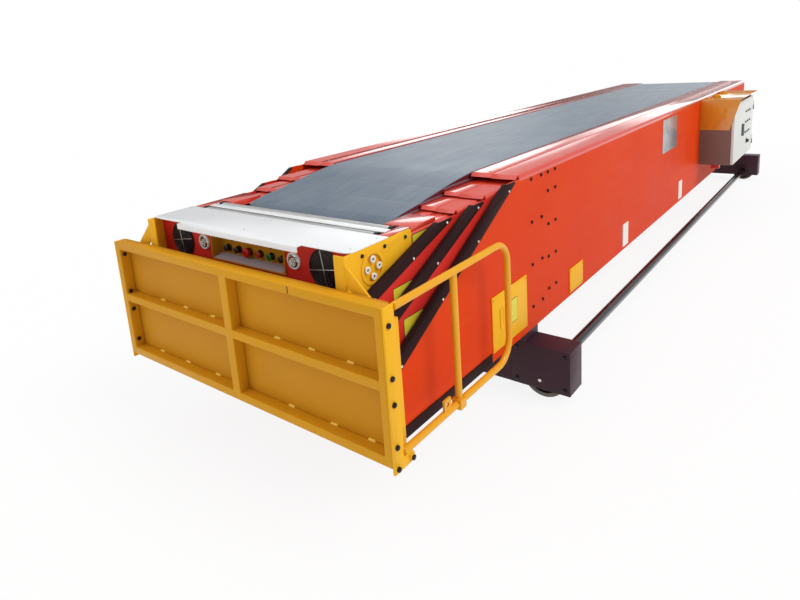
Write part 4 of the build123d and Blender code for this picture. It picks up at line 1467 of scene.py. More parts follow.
@dataclass
class HeadSides:
    """Side plates of the head with their screws, bearing flanges and capped nuts."""

    edge: float = 1.5 * MM
    corner: float = 10.0 * MM
    screw: Screw = Screw(HeadKind.DOME, 6.5 * MM, 4.0 * MM)
    screw_stations: tuple[float, ...] = (-3.529, -3.415, -3.301)
    screw_level: float = 0.946
    flange_wall: float = 13.0 * MM
    flange_depth: float = 2.5 * MM
    flange_round: float = 0.6 * MM
    flange_edges: int = 48
    nut_reach: float = 29.0 * MM
    nut_radius: float = 12.0 * MM
    nut_height: float = 5.0 * MM
    nut_count: int = 4
    nut_edges: int = 24
    nut_round: float = 2.0 * MM
    nut_rise: float = 1.0 * MM
    nut_rim: float = 3.5 * MM
    nut_draft: float = 0.3 * MM
    nut_depth: float = 3.0 * MM
    stud: Screw = Screw(HeadKind.DOME, 4.6 * MM, 3.0 * MM)
    body: str = "stage_3"

    def build(self, finishes: Finishes) -> None:
        """Model the plates and everything on them.

        Args:
            finishes: the shop's finishes.
        """
        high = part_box("head_side_plates")[1]
        plates = Shape.copied("head_side_plates_edged", finishes.nodes["head_side_plates"])
        rear = high.y - self.edge
        top = high.z - self.edge
        plates.edges(lambda middle, run: abs(run.x) > FACING and middle.y > rear and middle.z > top)
        plates.bevel(self.corner)
        finishes.dress(plates.soften(self.edge), Look.SAFETY_YELLOW, self.body, "head_side_plates")
        places = [(high.x, y, self.screw_level) for y in self.screw_stations]
        screws = self.screw.fixed("head_side_screws", sides(places, Axis.RIGHT))
        finishes.dress(screws, Look.BLACK_BOLT, self.body)
        self.bearings(finishes)

    def bearings(self, finishes: Finishes) -> None:
        """Model the round flanges on the side plates and the capped nuts in them.

        Args:
            finishes: the shop's finishes.
        """
        low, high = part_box("head_bearings")
        middle = (low + high) / 2
        outer = (high.z - low.z) / 2
        seat = (high.x, middle.y, middle.z)
        flange = Shape.rod(
            "bearing_flanges", seat, Axis.RIGHT, outer, self.flange_depth, self.flange_edges)
        flange.bore(Axis.RIGHT, self.flange_wall).soften(self.flange_round)
        finishes.dress(flange.mirrored(), Look.SAFETY_YELLOW, self.body)
        nut = Shape.rod("bearing_nut_caps", ORIGIN, Axis.UP, self.nut_radius, self.nut_height, self.nut_edges)
        nut.faces(facing(Axis.UP)).inset(self.nut_round, self.nut_rise).inset(self.nut_rim)
        nut.inset(self.nut_draft, -self.nut_depth)
        ring = circle(self.nut_count, self.nut_reach)
        places = [(high.x, middle.y + along, middle.z + rise) for along, rise in ring]
        finishes.dress(nut.repeat(sides(places, Axis.RIGHT)), Look.WHITE_CAP, self.body)
        studs = self.stud.fixed("bearing_stud_ends", sides(places, Axis.RIGHT))
        finishes.dress(studs, Look.BLACK_BOLT, self.body)


@dataclass
class HeadLamps:
    """Round lamps in the front panel: white bezel, stepped mirror and a cluster of domed lenses."""

    edges: int = 48
    bezel_height: float = 7.0 * MM
    bezel_round: float = 2.0 * MM
    bezel_rim: float = 4.0 * MM
    bezel_draft: float = 1.0 * MM
    bezel_sink: float = 4.0 * MM
    mirror_gap: float = 8.0 * MM
    mirror_height: float = 3.0 * MM
    # Steps of the mirror from its rim to its middle: width and rise of each
    mirror_steps: tuple[tuple[float, float], ...] = (
        (3.0 * MM, 2.0 * MM), (2.0 * MM, 0.0), (4.0 * MM, -2.0 * MM), (3.0 * MM, 0.0), (2.0 * MM, 1.5 * MM))
    lens: Screw = Screw(HeadKind.DOME, 3.2 * MM, 3.0 * MM)
    lens_count: int = 6
    lens_reach: float = 9.0 * MM
    lens_level: float = 7.0 * MM
    body: str = "stage_3"

    def build(self, finishes: Finishes) -> None:
        """Model both lamps in the place of their solids.

        Args:
            finishes: the shop's finishes.
        """
        radius, placings = front_pair("head_lamps")
        bezel = Shape.rod("head_lamp_bezels", ORIGIN, Axis.UP, radius, self.bezel_height, self.edges)
        bezel.faces(facing(Axis.UP)).inset(self.bezel_round, self.bezel_round).inset(self.bezel_rim)
        bezel.inset(self.bezel_draft, -self.bezel_sink)
        finishes.dress(bezel.repeat(placings), Look.LAMP_WHITE, self.body, "head_lamps")
        seat = (0.0, 0.0, self.bezel_height + self.bezel_round - self.bezel_sink)
        mirror = Shape.rod(
            "head_lamp_mirrors", seat, Axis.UP, radius - self.mirror_gap, self.mirror_height, self.edges)
        mirror.faces(facing(Axis.UP))
        for width, rise in self.mirror_steps:
            mirror.inset(width, rise)
        finishes.dress(mirror.repeat(placings), Look.LAMP_MIRROR, self.body)
        spots = [(0.0, 0.0)] + circle(self.lens_count, self.lens_reach)
        cluster = self.lens.fixed(
            "head_lamp_lenses", [Matrix.Translation((x, y, self.lens_level)) for x, y in spots])
        finishes.dress(cluster.repeat(placings), Look.LAMP_WHITE, self.body)


@dataclass
class FanGuards:
    """Guards of the two fans: dark dish, rings and blades behind a cross of bright wire."""

    edges: int = 48
    dish_height: float = 4.0 * MM
    dish_rim: float = 4.0 * MM
    dish_rise: float = 2.0 * MM
    dish_draft: float = 2.0 * MM
    dish_sink: float = 4.0 * MM
    wire: float = 1.3 * MM
    wire_edges: int = 16
    margin: float = 2.6 * MM
    # Share of the wire's radius that rounds its ends
    wire_round: float = 1 / 3
    level: float = 8.0 * MM
    hoops: int = 6
    blades: int = 5
    blade_root: float = 14.0 * MM
    blade_half: float = 11.0 * MM
    blade_gap: float = 8.0 * MM
    blade_level: float = 3.0 * MM
    blade_sheet: float = 1.5 * MM
    blade_flare: float = 1.9
    blade_twist: float = 1.0 * MM
    cross_turn: float = 0.15
    cross_lift: float = 1.95 * MM
    body: str = "stage_3"

    def build(self, finishes: Finishes) -> None:
        """Model both guards in the place of their solids.

        Args:
            finishes: the shop's finishes.
        """
        radius, placings = front_pair("fan_guards")
        dish = Shape.rod("fan_guard_rings", ORIGIN, Axis.UP, radius, self.dish_height, self.edges)
        dish.faces(facing(Axis.UP)).inset(self.dish_rim, self.dish_rise)
        dish.inset(self.dish_draft, -self.dish_sink)
        half = radius - self.margin
        hoops = [
            Shape.hoop("fan_guard_hoop", (0.0, 0.0, self.level), Axis.UP, half * step / self.hoops, self.wire)
            for step in range(1, self.hoops + 1)
        ]
        rings = dish.join(hoops + [self.fan(radius)])
        finishes.dress(rings.repeat(placings), Look.GUARD_DARK, self.body, "fan_guards")
        bar = Shape.rod(
            "fan_guard_wires", (-half, 0.0, 0.0), Axis.RIGHT, self.wire, 2 * half, self.wire_edges)
        bar.soften(self.wire_round * self.wire)
        lift = Matrix.Translation((0.0, 0.0, self.level + self.cross_lift))
        turns = (self.cross_turn, self.cross_turn + math.pi / 2)
        cross = bar.repeat([lift @ Matrix.Rotation(turn, AFFINE, "Z") for turn in turns])
        finishes.dress(cross.repeat(placings), Look.ZINC, self.body)

    def fan(self, radius: float) -> Shape:
        """Model the fan's flared blades.

        Args:
            radius: radius of the guard.

        Returns:
            The piece.
        """
        top = self.blade_level + self.blade_sheet
        blade = Shape.block(
            "fan_blade", (self.blade_root, -self.blade_half, self.blade_level),
            (radius - self.blade_gap, self.blade_half, top))
        blade.faces(facing(Axis.RIGHT)).resize((1.0, self.blade_flare, 1.0), (0.0, 0.0, top))
        blade.shift((0.0, 0.0, self.blade_twist))
        turns = [math.tau * step / self.blades for step in range(self.blades)]
        return blade.repeat([Matrix.Rotation(turn, AFFINE, "Z") for turn in turns])


@dataclass
class RollerEnds:
    """Black bearing ends of the transfer rollers."""

    roller: float = 21.0 * MM
    radius: float = 24.0 * MM
    length: float = 12.0 * MM
    inner: float = 0.4705
    edges: int = 32
    round_off: float = 3.0 * MM
    rise: float = 1.5 * MM
    face: float = 8.0 * MM
    bore_draft: float = 1.0 * MM
    bore_depth: float = 2.0 * MM
    body: str = "stage_3"

    def build(self, finishes: Finishes) -> None:
        """Model an end on each side of both rollers.

        Args:
            finishes: the shop's finishes.
        """
        low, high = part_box("transfer_rollers")
        end = Shape.rod("transfer_roller_ends", ORIGIN, Axis.UP, self.radius, self.length, self.edges)
        end.faces(facing(Axis.UP)).inset(self.round_off, self.rise).inset(self.face)
        end.inset(self.bore_draft, -self.bore_depth)
        level = high.z - self.roller
        places = [(self.inner, y, level) for y in (low.y + self.roller, high.y - self.roller)]
        finishes.dress(end.repeat(sides(places, Axis.RIGHT)), Look.GUARD_DARK, self.body)


class Button(NamedTuple):
    """Push button of the control box: its finish, and its radius and length."""

    look: Look
    radius: float
    length: float


@dataclass
class ControlPanel:
    """Push buttons on their bezels, two small knobs and the blank strip below them, lilac grey as painted
    shade.
    """

    bezel: float = 15.0 * MM
    bezel_depth: float = 5.0 * MM
    bezel_round: float = 1.5 * MM
    # Shares of a button's radius or length
    stem: float = 0.6
    stem_length: float = 0.55
    flare: float = 1.65
    flare_length: float = 0.05
    cap_length: float = 0.3
    crown: float = 0.25
    crown_rise: float = 0.08
    crown_top: float = 0.02
    knob: float = 8.0 * MM
    knob_length: float = 14.0 * MM
    knob_edges: int = 20
    knob_round: float = 2.0 * MM
    knob_dip: float = 1.0 * MM
    knob_places: tuple[tuple[float, float], ...] = ((-0.117, 0.912), (0.106, 0.912))
    strip_low: Point = (-0.2, -3.553, 0.8362)
    strip_high: Point = (0.19, -3.516, 0.850)
    strip_front_rise: float = 2.0 * MM
    strip_round: float = 0.5 * MM
    buttons: tuple[Button, ...] = (
        Button(Look.CAP_BLACK, 0.013, 0.022),
        Button(Look.CAP_BLACK, 0.013, 0.022),
        Button(Look.CAP_RED, 0.019, 0.027),
        Button(Look.CAP_AMBER, 0.014, 0.020),
        Button(Look.CAP_GREEN, 0.014, 0.020),
        Button(Look.CAP_BLACK, 0.013, 0.022),
    )
    body: str = "stage_3"

    def build(self, finishes: Finishes) -> None:
        """Model the panel's fittings in the place of the plain buttons.

        Args:
            finishes: the shop's finishes.
        """
        low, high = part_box("control_buttons")
        radius = (high.z - low.z) / 2
        step = (high.x - low.x - 2 * radius) / (len(self.buttons) - 1)
        level = (low.z + high.z) / 2
        places = [(low.x + radius + step * number, high.y, level) for number in range(len(self.buttons))]
        bezel = Shape.rod("button_bezels", ORIGIN, Axis.UP, self.bezel, self.bezel_depth)
        bezel.faces(facing(Axis.UP)).inset(self.bezel_round, self.bezel_round)
        bezels = bezel.repeat([Axis.FRONT.at(place) for place in places])
        finishes.dress(bezels, Look.CAP_BLACK, self.body, "control_buttons")
        for number, (button, place) in enumerate(zip(self.buttons, places), 1):
            cap = self.cap(f"button_{number}", button).repeat([Axis.FRONT.at(place)])
            finishes.dress(cap, button.look, self.body)
        knob = Shape.rod("small_knobs", ORIGIN, Axis.UP, self.knob, self.knob_length, self.knob_edges)
        knob.faces(facing(Axis.UP)).inset(self.knob_round, self.knob_round)
        knob.inset(self.knob_round, -self.knob_dip)
        knobs = knob.repeat([Axis.FRONT.at((x, high.y, z)) for x, z in self.knob_places])
        finishes.dress(knobs, Look.CAP_BLACK, self.body)
        self.strip(finishes)

    def cap(self, name: str, button: Button) -> Shape:
        """Model one button: a stem that flares to a crowned cap.

        Args:
            name: name of the piece.
            button: finish and size of the button.

        Returns:
            The piece.
        """
        cap = Shape.rod(name, ORIGIN, Axis.UP, self.stem * button.radius, self.stem_length * button.length)
        cap.faces(facing(Axis.UP)).extrude((0.0, 0.0, self.flare_length * button.length))
        cap.resize((self.flare, self.flare, 1.0), ORIGIN).extrude((0.0, 0.0, self.cap_length * button.length))
        cap.inset(self.crown * button.radius, self.crown_rise * button.length)
        return cap.inset(self.crown * button.radius, self.crown_top * button.length)

    def strip(self, finishes: Finishes) -> None:
        """Model the sloped blank strip on the floor of the box, greyed as painted shade.

        Args:
            finishes: the shop's finishes.
        """
        strip = Shape.block("control_strip", self.strip_low, self.strip_high)
        front = self.strip_low[1] + self.strip_round
        top = self.strip_high[2] - self.strip_round
        strip.edges(lambda middle, run: abs(run.x) > FACING and middle.y < front and middle.z > top)
        strip.shift((0.0, 0.0, self.strip_low[2] + self.strip_front_rise - self.strip_high[2]))
        finishes.dress(strip.soften(self.strip_round), Look.SHADED_STRIP_GREY, self.body)


@dataclass
class PlatformFittings:
    """Bolts, pivot bolts, weld stitches in a paler yellow of painted highlight, and the latch slit, drawn as
    a thin black block of painted shade, of the folding platform.
    """

    bolt: Screw = Screw(HeadKind.DOME, 8.5 * MM, 6.0 * MM)
    bolt_levels: tuple[float, ...] = (0.806, 0.640, 0.556, 0.415, 0.341)
    inner_levels: tuple[float, ...] = (0.806, 0.640, 0.556, 0.415)
    bolt_y: float = -3.656
    end_rib: float = 28.0 * MM
    pivot_bolt: Screw = Screw(HeadKind.DOME, 9.0 * MM, 4.0 * MM)
    pivot: Point = (0.745, -3.590, 0.346)
    weld_radius: float = 5.5 * MM
    weld_length: float = 24.0 * MM
    weld_edges: int = 12
    # Shares of a weld's radius by which its ends draw in and reach out
    weld_taper: float = 1 / 3
    weld_tip: float = 1 / 2
    mid_level: float = 0.630
    low_level: float = 0.380
    mid_welds: tuple[float, ...] = (-0.499, -0.336, -0.161, 0.205, 0.372, 0.543)
    low_welds: tuple[float, ...] = (-0.569, -0.379, -0.179, 0.240, 0.443, 0.605)
    slit_x: float = 0.345
    slit_width: float = 4.5 * MM
    slit_height: float = 26.0 * MM
    slit_drop: float = 3.0 * MM
    slit_proud: float = 0.4 * MM
    slit_corner: float = 1.2 * MM
    body: str = "platform"

    def build(self, finishes: Finishes) -> None:
        """Model the platform's fittings.

        Args:
            finishes: the shop's finishes.
        """
        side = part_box("platform_side_plates")[1].x
        frame_low, frame_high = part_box("platform_frame")
        outer = [(side, self.bolt_y, z) for z in self.bolt_levels]
        inner = [(frame_high.x - self.end_rib, self.bolt_y, z) for z in self.inner_levels]
        shape = self.bolt.fixed("platform_bolts", sides(outer, Axis.RIGHT) + sides(inner, Axis.LEFT))
        finishes.dress(shape, Look.BLACK_BOLT, self.body)
        pivots = self.pivot_bolt.fixed("platform_pivot_bolts", sides([self.pivot], Axis.RIGHT))
        finishes.dress(pivots, Look.BLACK_BOLT, "stage_3")
        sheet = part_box("platform_floor")[0].y
        # Weld beads in a paler yellow: the paleness is painted highlight
        bead = Shape.rod(
            "platform_welds", ORIGIN, Axis.RIGHT, self.weld_radius, self.weld_length, self.weld_edges)
        for axis in (Axis.RIGHT, Axis.LEFT):
            bead.faces(facing(axis))
            bead.inset(self.weld_taper * self.weld_radius, self.weld_tip * self.weld_radius)
        places = [(x, sheet, self.mid_level) for x in self.mid_welds]
        places += [(x, sheet, self.low_level) for x in self.low_welds]
        beads = bead.repeat([Matrix.Translation(place) for place in places])
        finishes.dress(beads, Look.HIGHLIT_WELD_YELLOW, self.body)
        # Latch slit drawn as a thin black block across the rail's face: its black is painted shade of the
        # slot
        top = frame_high.z - self.slit_drop
        slit = Shape.block(
            "platform_latch_slit_shade",
            (self.slit_x - self.slit_width / 2, frame_low.y - self.slit_proud, top - self.slit_height),
            (self.slit_x + self.slit_width / 2, frame_low.y + self.slit_proud, top))
        finishes.dress(slit.corners(Axis.FRONT, self.slit_corner), Look.BLACK_BOLT, self.body)


@dataclass
class CabinetFittings:
    """Handle, indicators, switch and cable gland of the control cabinet, and the stiffeners of its tray."""

    handle_depth: float = 16.0 * MM
    handle_low: tuple[float, float] = (1.000, 0.6835)
    handle_high: tuple[float, float] = (1.018, 0.7835)
    grip_wall: float = 1.0 * MM
    grip_rim: float = 4.0 * MM
    grip_rise: float = 1.5 * MM
    grip_round: float = 2.0 * MM
    lamp: float = 9.0 * MM
    lamp_edges: int = 24
    lamp_height: float = 5.0 * MM
    lamp_rim: float = 3.0 * MM
    lamp_rise: float = 1.0 * MM
    lamp_stations: tuple[float, ...] = (1.17, 1.26, 1.35)
    lamp_levels: tuple[float, ...] = (0.871, 0.781, 0.691)
    switch_place: tuple[float, float] = (1.26, 0.606)
    switch: float = 20.0 * MM
    switch_plate: float = 5.0 * MM
    switch_rim: float = 7.0 * MM
    switch_rise: float = 8.0 * MM
    switch_grip: float = 0.4
    switch_round: float = 1.5 * MM
    rib_stations: tuple[float, ...] = (0.82, 1.1, 1.38)
    rib: float = 8.0 * MM
    rib_lift: float = 4.0 * MM
    rib_inner: float = 0.64
    rib_outer: float = 0.70
    rib_cut: float = 12.0 * MM
    rib_round: float = 0.6 * MM
    gland_low: Point = (0.725, 0.67, 0.452)
    gland_high: Point = (0.785, 0.73, 0.487)
    gland_round: float = 9.0 * MM
    body: str = "cabinet_door"

    def build(self, finishes: Finishes) -> None:
        """Model the cabinet's fittings.

        Args:
            finishes: the shop's finishes.
        """
        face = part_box("cabinet_door")[1].x - self.handle_depth
        self.handle(finishes, face)
        lamp = Shape.rod("cabinet_indicators", ORIGIN, Axis.UP, self.lamp, self.lamp_height, self.lamp_edges)
        lamp.faces(facing(Axis.UP)).inset(self.lamp_rim, self.lamp_rise)
        lamp.inset(self.lamp_rise, self.lamp_rim).inset(self.lamp_rim, self.lamp_rise)
        places = [(face, y, z) for y in self.lamp_stations for z in self.lamp_levels]
        finishes.dress(lamp.repeat([Axis.RIGHT.at(place) for place in places]), Look.CAP_BLACK, self.body)
        self.turn_switch(finishes, face)
        self.tray_ribs(finishes)
        gland = Shape.block("cabinet_gland", self.gland_low, self.gland_high)
        gland.edges(lambda middle, run: middle.z < self.gland_high[2] - MM)
        finishes.dress(gland.bevel(self.gland_round), Look.CAP_RED, "base")

    def handle(self, finishes: Finishes, face: float) -> None:
        """Model the black grip over the handle of the door.

        Args:
            finishes: the shop's finishes.
            face: plane of the door's face.
        """
        (front, low), (rear, high) = self.handle_low, self.handle_high
        grip = Shape.block(
            "cabinet_handle", (face, front - self.grip_wall, low - self.grip_wall),
            (face + self.handle_depth + self.grip_wall, rear + self.grip_wall, high + self.grip_wall))
        grip.faces(facing(Axis.RIGHT)).inset(self.grip_rim, self.grip_rise)
        finishes.dress(grip.soften(self.grip_round), Look.CAP_GREY, self.body)

    def turn_switch(self, finishes: Finishes, face: float) -> None:
        """Model the main switch: a square plate with a narrow turning grip.

        Args:
            finishes: the shop's finishes.
            face: plane of the door's face.
        """
        y, z = self.switch_place
        switch = Shape.block(
            "cabinet_switch", (face, y - self.switch, z - self.switch),
            (face + self.switch_plate, y + self.switch, z + self.switch))
        switch.faces(facing(Axis.RIGHT)).inset(self.switch_rim).extrude((self.switch_rise, 0.0, 0.0))
        switch.resize((1.0, self.switch_grip, 1.0), (face, y, z)).extrude((self.switch_rise, 0.0, 0.0))
        finishes.dress(switch.soften(self.switch_round), Look.CAP_BLACK, self.body)

    def tray_ribs(self, finishes: Finishes) -> None:
        """Model the stiffeners between the tray and the wall.

        Args:
            finishes: the shop's finishes.
        """
        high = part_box("cabinet_tray")[1]
        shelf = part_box("cabinet_box")[1].z + self.rib_lift
        outer = self.rib_outer - MM
        top = high.z - MM
        ribs = []
        for station in self.rib_stations:
            rib = Shape.block(
                "cabinet_tray_ribs", (self.rib_inner, station, shelf),
                (self.rib_outer, station + self.rib, high.z))
            rib.edges(lambda middle, run: abs(run.y) > FACING and middle.x > outer and middle.z > top)
            ribs.append(rib.bevel(self.rib_cut, 1).soften(self.rib_round))
        finishes.dress(ribs[0].join(ribs[1:]), Look.SAFETY_YELLOW, "base")


@dataclass
class RunningGear:
    """Bolts, axle caps and shaft flanges of the wheel housings."""

    bolt: Screw = Screw(HeadKind.HEXAGON, 8.0 * MM, 5.0 * MM)
    cap: Screw = Screw(HeadKind.DOME, 8.0 * MM, 4.0 * MM)
    bolt_inset: float = 24.0 * MM
    housing_length: float = 132.0 * MM
    flange: float = 52.0 * MM
    flange_depth: float = 12.0 * MM
    flange_edges: int = 40
    flange_round: float = 2.0 * MM
    bore_gap: float = 2.0 * MM
    edge: float = 2.5 * MM

    def build(self, finishes: Finishes) -> None:
        """Model the fittings on the housings.

        Args:
            finishes: the shop's finishes.
        """
        low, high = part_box("wheel_housings")
        shaft_low, shaft_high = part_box("drive_shaft")
        axle = (shaft_low + shaft_high) / 2
        radius = (shaft_high.z - shaft_low.z) / 2
        inner = 2 * axle.x - high.x
        self.housings(finishes, axle, radius)
        bolts = []
        caps = []
        for axis, face in ((Axis.FRONT, low.y), (Axis.REAR, high.y)):
            for side in (1, -1):
                caps.append(axis.at((side * axle.x, face, axle.z)))
                for x in (inner + self.bolt_inset, high.x - self.bolt_inset):
                    for z in (low.z + self.bolt_inset, high.z - self.bolt_inset):
                        bolts.append(axis.at((side * x, face, z)))
        finishes.dress(self.bolt.fixed("housing_bolts", bolts), Look.BLACK_BOLT, "base")
        finishes.dress(self.cap.fixed("axle_caps", caps), Look.ZINC, "base")
        flange = Shape.rod(
            "shaft_flanges", ORIGIN, Axis.UP, self.flange, self.flange_depth, self.flange_edges)
        flange.bore(Axis.UP, self.flange - radius - self.bore_gap).soften(self.flange_round)
        placings = [
            Axis.REAR.at((axle.x, low.y + self.housing_length, axle.z)),
            Axis.FRONT.at((axle.x, high.y - self.housing_length, axle.z)),
        ]
        finishes.dress(flange.repeat(placings), Look.GEAR_DARK, "base")

    def housings(self, finishes: Finishes, axle: Vector, radius: float) -> None:
        """Round the edges of the housings and leave the turning shaft room in their bores.

        Args:
            finishes: the shop's finishes.
            axle: middle of the shaft.
            radius: radius of the shaft.
        """
        boxes = Shape.copied("wheel_housings_edged", finishes.nodes["wheel_housings"])
        reach = radius + self.bore_gap
        boxes.faces(lambda place, normal: abs(normal.y) < MM and math.dist(place.xz, axle.xz) < reach)
        grow = reach / radius
        boxes.resize((grow, 1.0, grow), axle)
        finishes.dress(boxes.soften(self.edge), Look.GEAR_DARK, "base", "wheel_housings")


@dataclass
class RearEnd:
    """Bolts and the blank plate on the rear end plate."""

    bolt: Screw = Screw(HeadKind.HEXAGON, 9.0 * MM, 6.0 * MM)
    inset: float = 40.0 * MM
    across: int = 5
    plate_half: float = 0.11
    plate_height: float = 0.14
    plate: float = 1.5 * MM
    plate_corner: float = 6.0 * MM

    def build(self, finishes: Finishes) -> None:
        """Model the fittings of the rear end.

        Args:
            finishes: the shop's finishes.
        """
        low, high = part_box("base_rear_plate")
        span = high.x - low.x - 2 * self.inset
        placings = [
            Axis.REAR.at((low.x + self.inset + span * step / (self.across - 1), high.y, z))
            for step in range(self.across) for z in (low.z + self.inset, high.z - self.inset)
        ]
        finishes.dress(self.bolt.fixed("rear_plate_bolts", placings), Look.BLACK_BOLT, "base")
        middle = (low.z + high.z) / 2
        label = Shape.block(
            "rear_blank_plate", (-self.plate_half, high.y, middle),
            (self.plate_half, high.y + self.plate, middle + self.plate_height))
        finishes.dress(label.corners(Axis.REAR, self.plate_corner), Look.BARE_PLATE, "base")


class Window(NamedTuple):
    """Bright window that the gloss shows: the way to it, cosines of its rim and heart, its strength."""

    way: Point
    rim: float
    heart: float
    strength: float


class Sun(NamedTuple):
    """Soft sun: its name, the way that its light comes from, its strength and its width in degrees."""

    name: str
    source: Point
    strength: float
    width: float


@dataclass
class Studio:
    """Pale floor, soft lamps, white surround and the camera."""

    floor_size: float = 400.0
    floor_white: str = "#F4F4F3"
    floor_glow: float = 0.88
    sky_strength: float = 0.4
    hall_dim: float = 0.5
    windows: tuple[Window, ...] = (
        Window((-0.139, 0.986, 0.09), 0.955, 0.995, 1.5),
        Window((-0.526, 0.810, 0.259), 0.978, 0.993, 2.0),
    )
    # Dark low wall along the left of the hall: how steeply it rises, softness of its top, light left on it
    wall_slope: float = 0.255
    wall_soft: float = 0.008
    wall_light: float = 0.1
    camera_at: Point = (1.773, -4.895, 1.549)
    camera_forward: Point = (-0.6187, 0.7546, -0.2188)
    camera_yaw: float = -0.6867
    camera_roll: float = -0.0732
    focal_px: float = 613.45
    principal_px: tuple[float, float] = (383.79, 194.71)
    suns: tuple[Sun, ...] = (
        Sun("sun_right", (0.75, 0.15, 0.75), 1.6, 30.0),
        Sun("sun_front", (-0.45, -0.75, 0.6), 0.7, 45.0),
        Sun("sun_top", (0.0, 0.0, 1.0), 0.6, 70.0),
    )

    def build(self) -> None:
        """Set up everything round the object."""
        bpy.context.scene.view_settings.view_transform = "Standard"
        self.build_floor()
        self.build_world()
        self.build_suns()
        self.build_camera()

    def ray_share(self, tree: bpy.types.NodeTree) -> bpy.types.NodeSocket:
        """Work out one for camera, mirror and glass rays and nought for the rest.

        Args:
            tree: node tree that gets the nodes.

        Returns:
            The socket of that share.
        """
        path = add_node(tree, "ShaderNodeLightPath")
        seen = add_node(tree, "ShaderNodeMath", {"operation": "MAXIMUM"}, {
            0: path.outputs["Is Camera Ray"], 1: path.outputs["Is Glossy Ray"]})
        every = add_node(tree, "ShaderNodeMath", {"operation": "MAXIMUM"}, {
            0: seen.outputs["Value"], 1: path.outputs["Is Transmission Ray"]})
        return every.outputs["Value"]

    def build_floor(self) -> None:
        """Lay a pale floor that keeps a light shadow of the machine."""
        clear_hands()
        bpy.ops.mesh.primitive_plane_add(size=self.floor_size)
        floor = bpy.context.object
        floor.name = "studio_floor"
        material, tree = new_material("matt studio floor, white")
        matt = add_node(tree, "ShaderNodeBsdfDiffuse", inputs={"Color": linear(self.floor_white)})
        glow = add_node(tree, "ShaderNodeEmission", inputs={"Color": WHITE, "Strength": 1.0})
        part = add_node(tree, "ShaderNodeMath", {"operation": "MULTIPLY"}, {
            0: self.ray_share(tree), 1: self.floor_glow})
        mix = add_node(tree, "ShaderNodeMixShader", inputs={
            0: part.outputs["Value"], 1: matt.outputs["BSDF"], 2: glow.outputs["Emission"]})
        add_node(tree, "ShaderNodeOutputMaterial", inputs={"Surface": mix.outputs["Shader"]})
        floor.data.materials.append(material)

    def build_world(self) -> None:
        """Surround the machine with white that lights it softly."""
        world = bpy.data.worlds.new("studio surround")
        bpy.context.scene.world = world
        world.use_nodes = True
        tree = world.node_tree
        tree.nodes.clear()
        path = add_node(tree, "ShaderNodeLightPath")
        light = add_node(tree, "ShaderNodeBackground", inputs={"Color": WHITE, "Strength": self.sky_strength})
        hall = add_node(tree, "ShaderNodeBackground", inputs={"Color": WHITE, "Strength": self.hall(tree)})
        white = add_node(tree, "ShaderNodeBackground", inputs={"Color": WHITE, "Strength": 1.0})
        unseen = add_node(tree, "ShaderNodeMixShader", inputs={
            0: path.outputs["Is Glossy Ray"], 1: light.outputs["Background"], 2: hall.outputs["Background"]})
        mix = add_node(tree, "ShaderNodeMixShader", inputs={
            0: path.outputs["Is Camera Ray"], 1: unseen.outputs["Shader"], 2: white.outputs["Background"]})
        add_node(tree, "ShaderNodeOutputWorld", inputs={"Surface": mix.outputs["Shader"]})

    def hall(self, tree: bpy.types.NodeTree) -> bpy.types.NodeSocket:
        """Work out how bright the hall is in each direction, as gloss shows it.

        Args:
            tree: node tree that gets the nodes.

        Returns:
            The socket of that brightness.
        """
        way = add_node(tree, "ShaderNodeTexCoord").outputs["Object"]
        bright = self.hall_dim
        for window in self.windows:
            lean = add_node(tree, "ShaderNodeVectorMath", {"operation": "DOT_PRODUCT"}, {
                0: way, 1: tuple(Vector(window.way).normalized())})
            pane = add_node(tree, "ShaderNodeMapRange", {"interpolation_type": "SMOOTHSTEP"}, {
                "Value": lean.outputs["Value"], "From Min": window.rim, "From Max": window.heart,
                "To Max": window.strength})
            both = add_node(tree, "ShaderNodeMath", {"operation": "ADD"}, {
                0: bright, 1: pane.outputs["Result"]})
            bright = both.outputs["Value"]
        rise = add_node(tree, "ShaderNodeVectorMath", {"operation": "DOT_PRODUCT"}, {
            0: way, 1: (self.wall_slope, 0.0, 1.0)})
        clear = add_node(tree, "ShaderNodeMapRange", {"interpolation_type": "SMOOTHSTEP"}, {
            "Value": rise.outputs["Value"], "From Min": -self.wall_soft, "From Max": self.wall_soft,
            "To Min": self.wall_light})
        left = add_node(tree, "ShaderNodeMath", {"operation": "MULTIPLY"}, {
            0: bright, 1: clear.outputs["Result"]})
        return left.outputs["Value"]

    def build_suns(self) -> None:
        """Hang the soft suns."""
        for sun in self.suns:
            data = bpy.data.lights.new(sun.name, "SUN")
            data.energy = sun.strength
            data.angle = math.radians(sun.width)
            lamp = bpy.data.objects.new(sun.name, data)
            bpy.context.scene.collection.objects.link(lamp)
            lamp.rotation_euler = (-Vector(sun.source)).to_track_quat("-Z", "Y").to_euler()

    def build_camera(self) -> None:
        """Stand the camera where the photograph was taken."""
        data = bpy.data.cameras.new("view")
        data.sensor_fit = "HORIZONTAL"
        data.sensor_width = SENSOR_MM
        data.lens = self.focal_px / IMAGE_WIDTH * SENSOR_MM
        across, down = self.principal_px
        data.shift_x = (IMAGE_WIDTH / 2 - across) / IMAGE_WIDTH
        data.shift_y = (down - IMAGE_HEIGHT / 2) / IMAGE_WIDTH
        data.clip_end = self.floor_size
        camera = bpy.data.objects.new("view", data)
        bpy.context.scene.collection.objects.link(camera)
        forward = Vector(self.camera_forward).normalized()
        level = Vector((math.cos(self.camera_yaw), -math.sin(self.camera_yaw), 0.0))
        level = (level - forward * level.dot(forward)).normalized()
        upright = level.cross(forward)
        turn = self.camera_roll
        right = level * math.cos(turn) + upright * math.sin(turn)
        up = upright * math.cos(turn) - level * math.sin(turn)
        axes = Matrix((right, up, -forward)).transposed().to_4x4()
        camera.matrix_world = Matrix.Translation(self.camera_at) @ axes
        bpy.context.scene.camera = camera


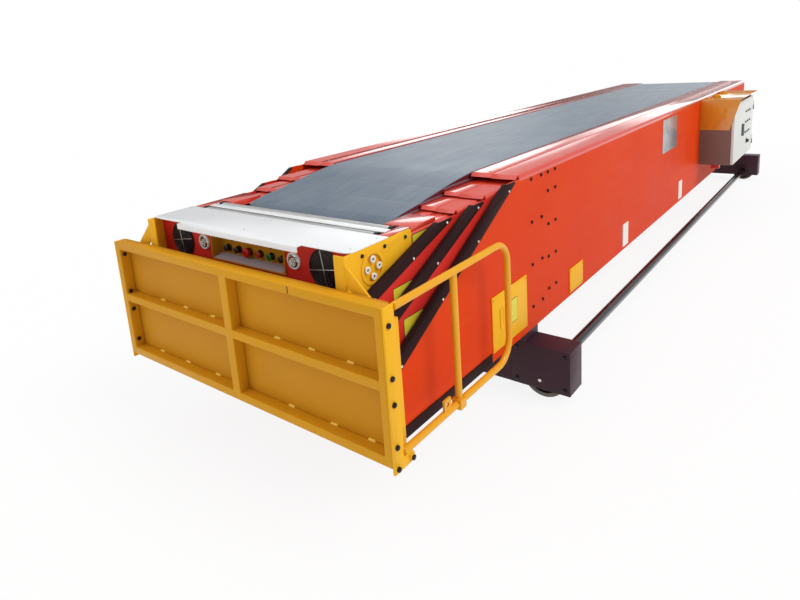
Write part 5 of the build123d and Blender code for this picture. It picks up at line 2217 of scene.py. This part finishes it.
def main() -> None:
    """Load the solids, dress them, add the fittings and set up the view."""
    logging.basicConfig(level=logging.INFO, format="%(message)s")
    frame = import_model()
    finishes = Finishes(frame)
    finishes.dress_nodes()
    for assembly in (
        SheetEdges(), BeltRuns(), CoverLaps(), SideWalls(), HeadPlate(), HeadSides(), HeadLamps(),
        FanGuards(), RollerEnds(), ControlPanel(), PlatformFittings(), CabinetFittings(), RunningGear(),
        RearEnd(),
    ):
        LOG.info("building %s", type(assembly).__name__)
        assembly.build(finishes)
    Studio().build()


if __name__ == "__main__":
    main()
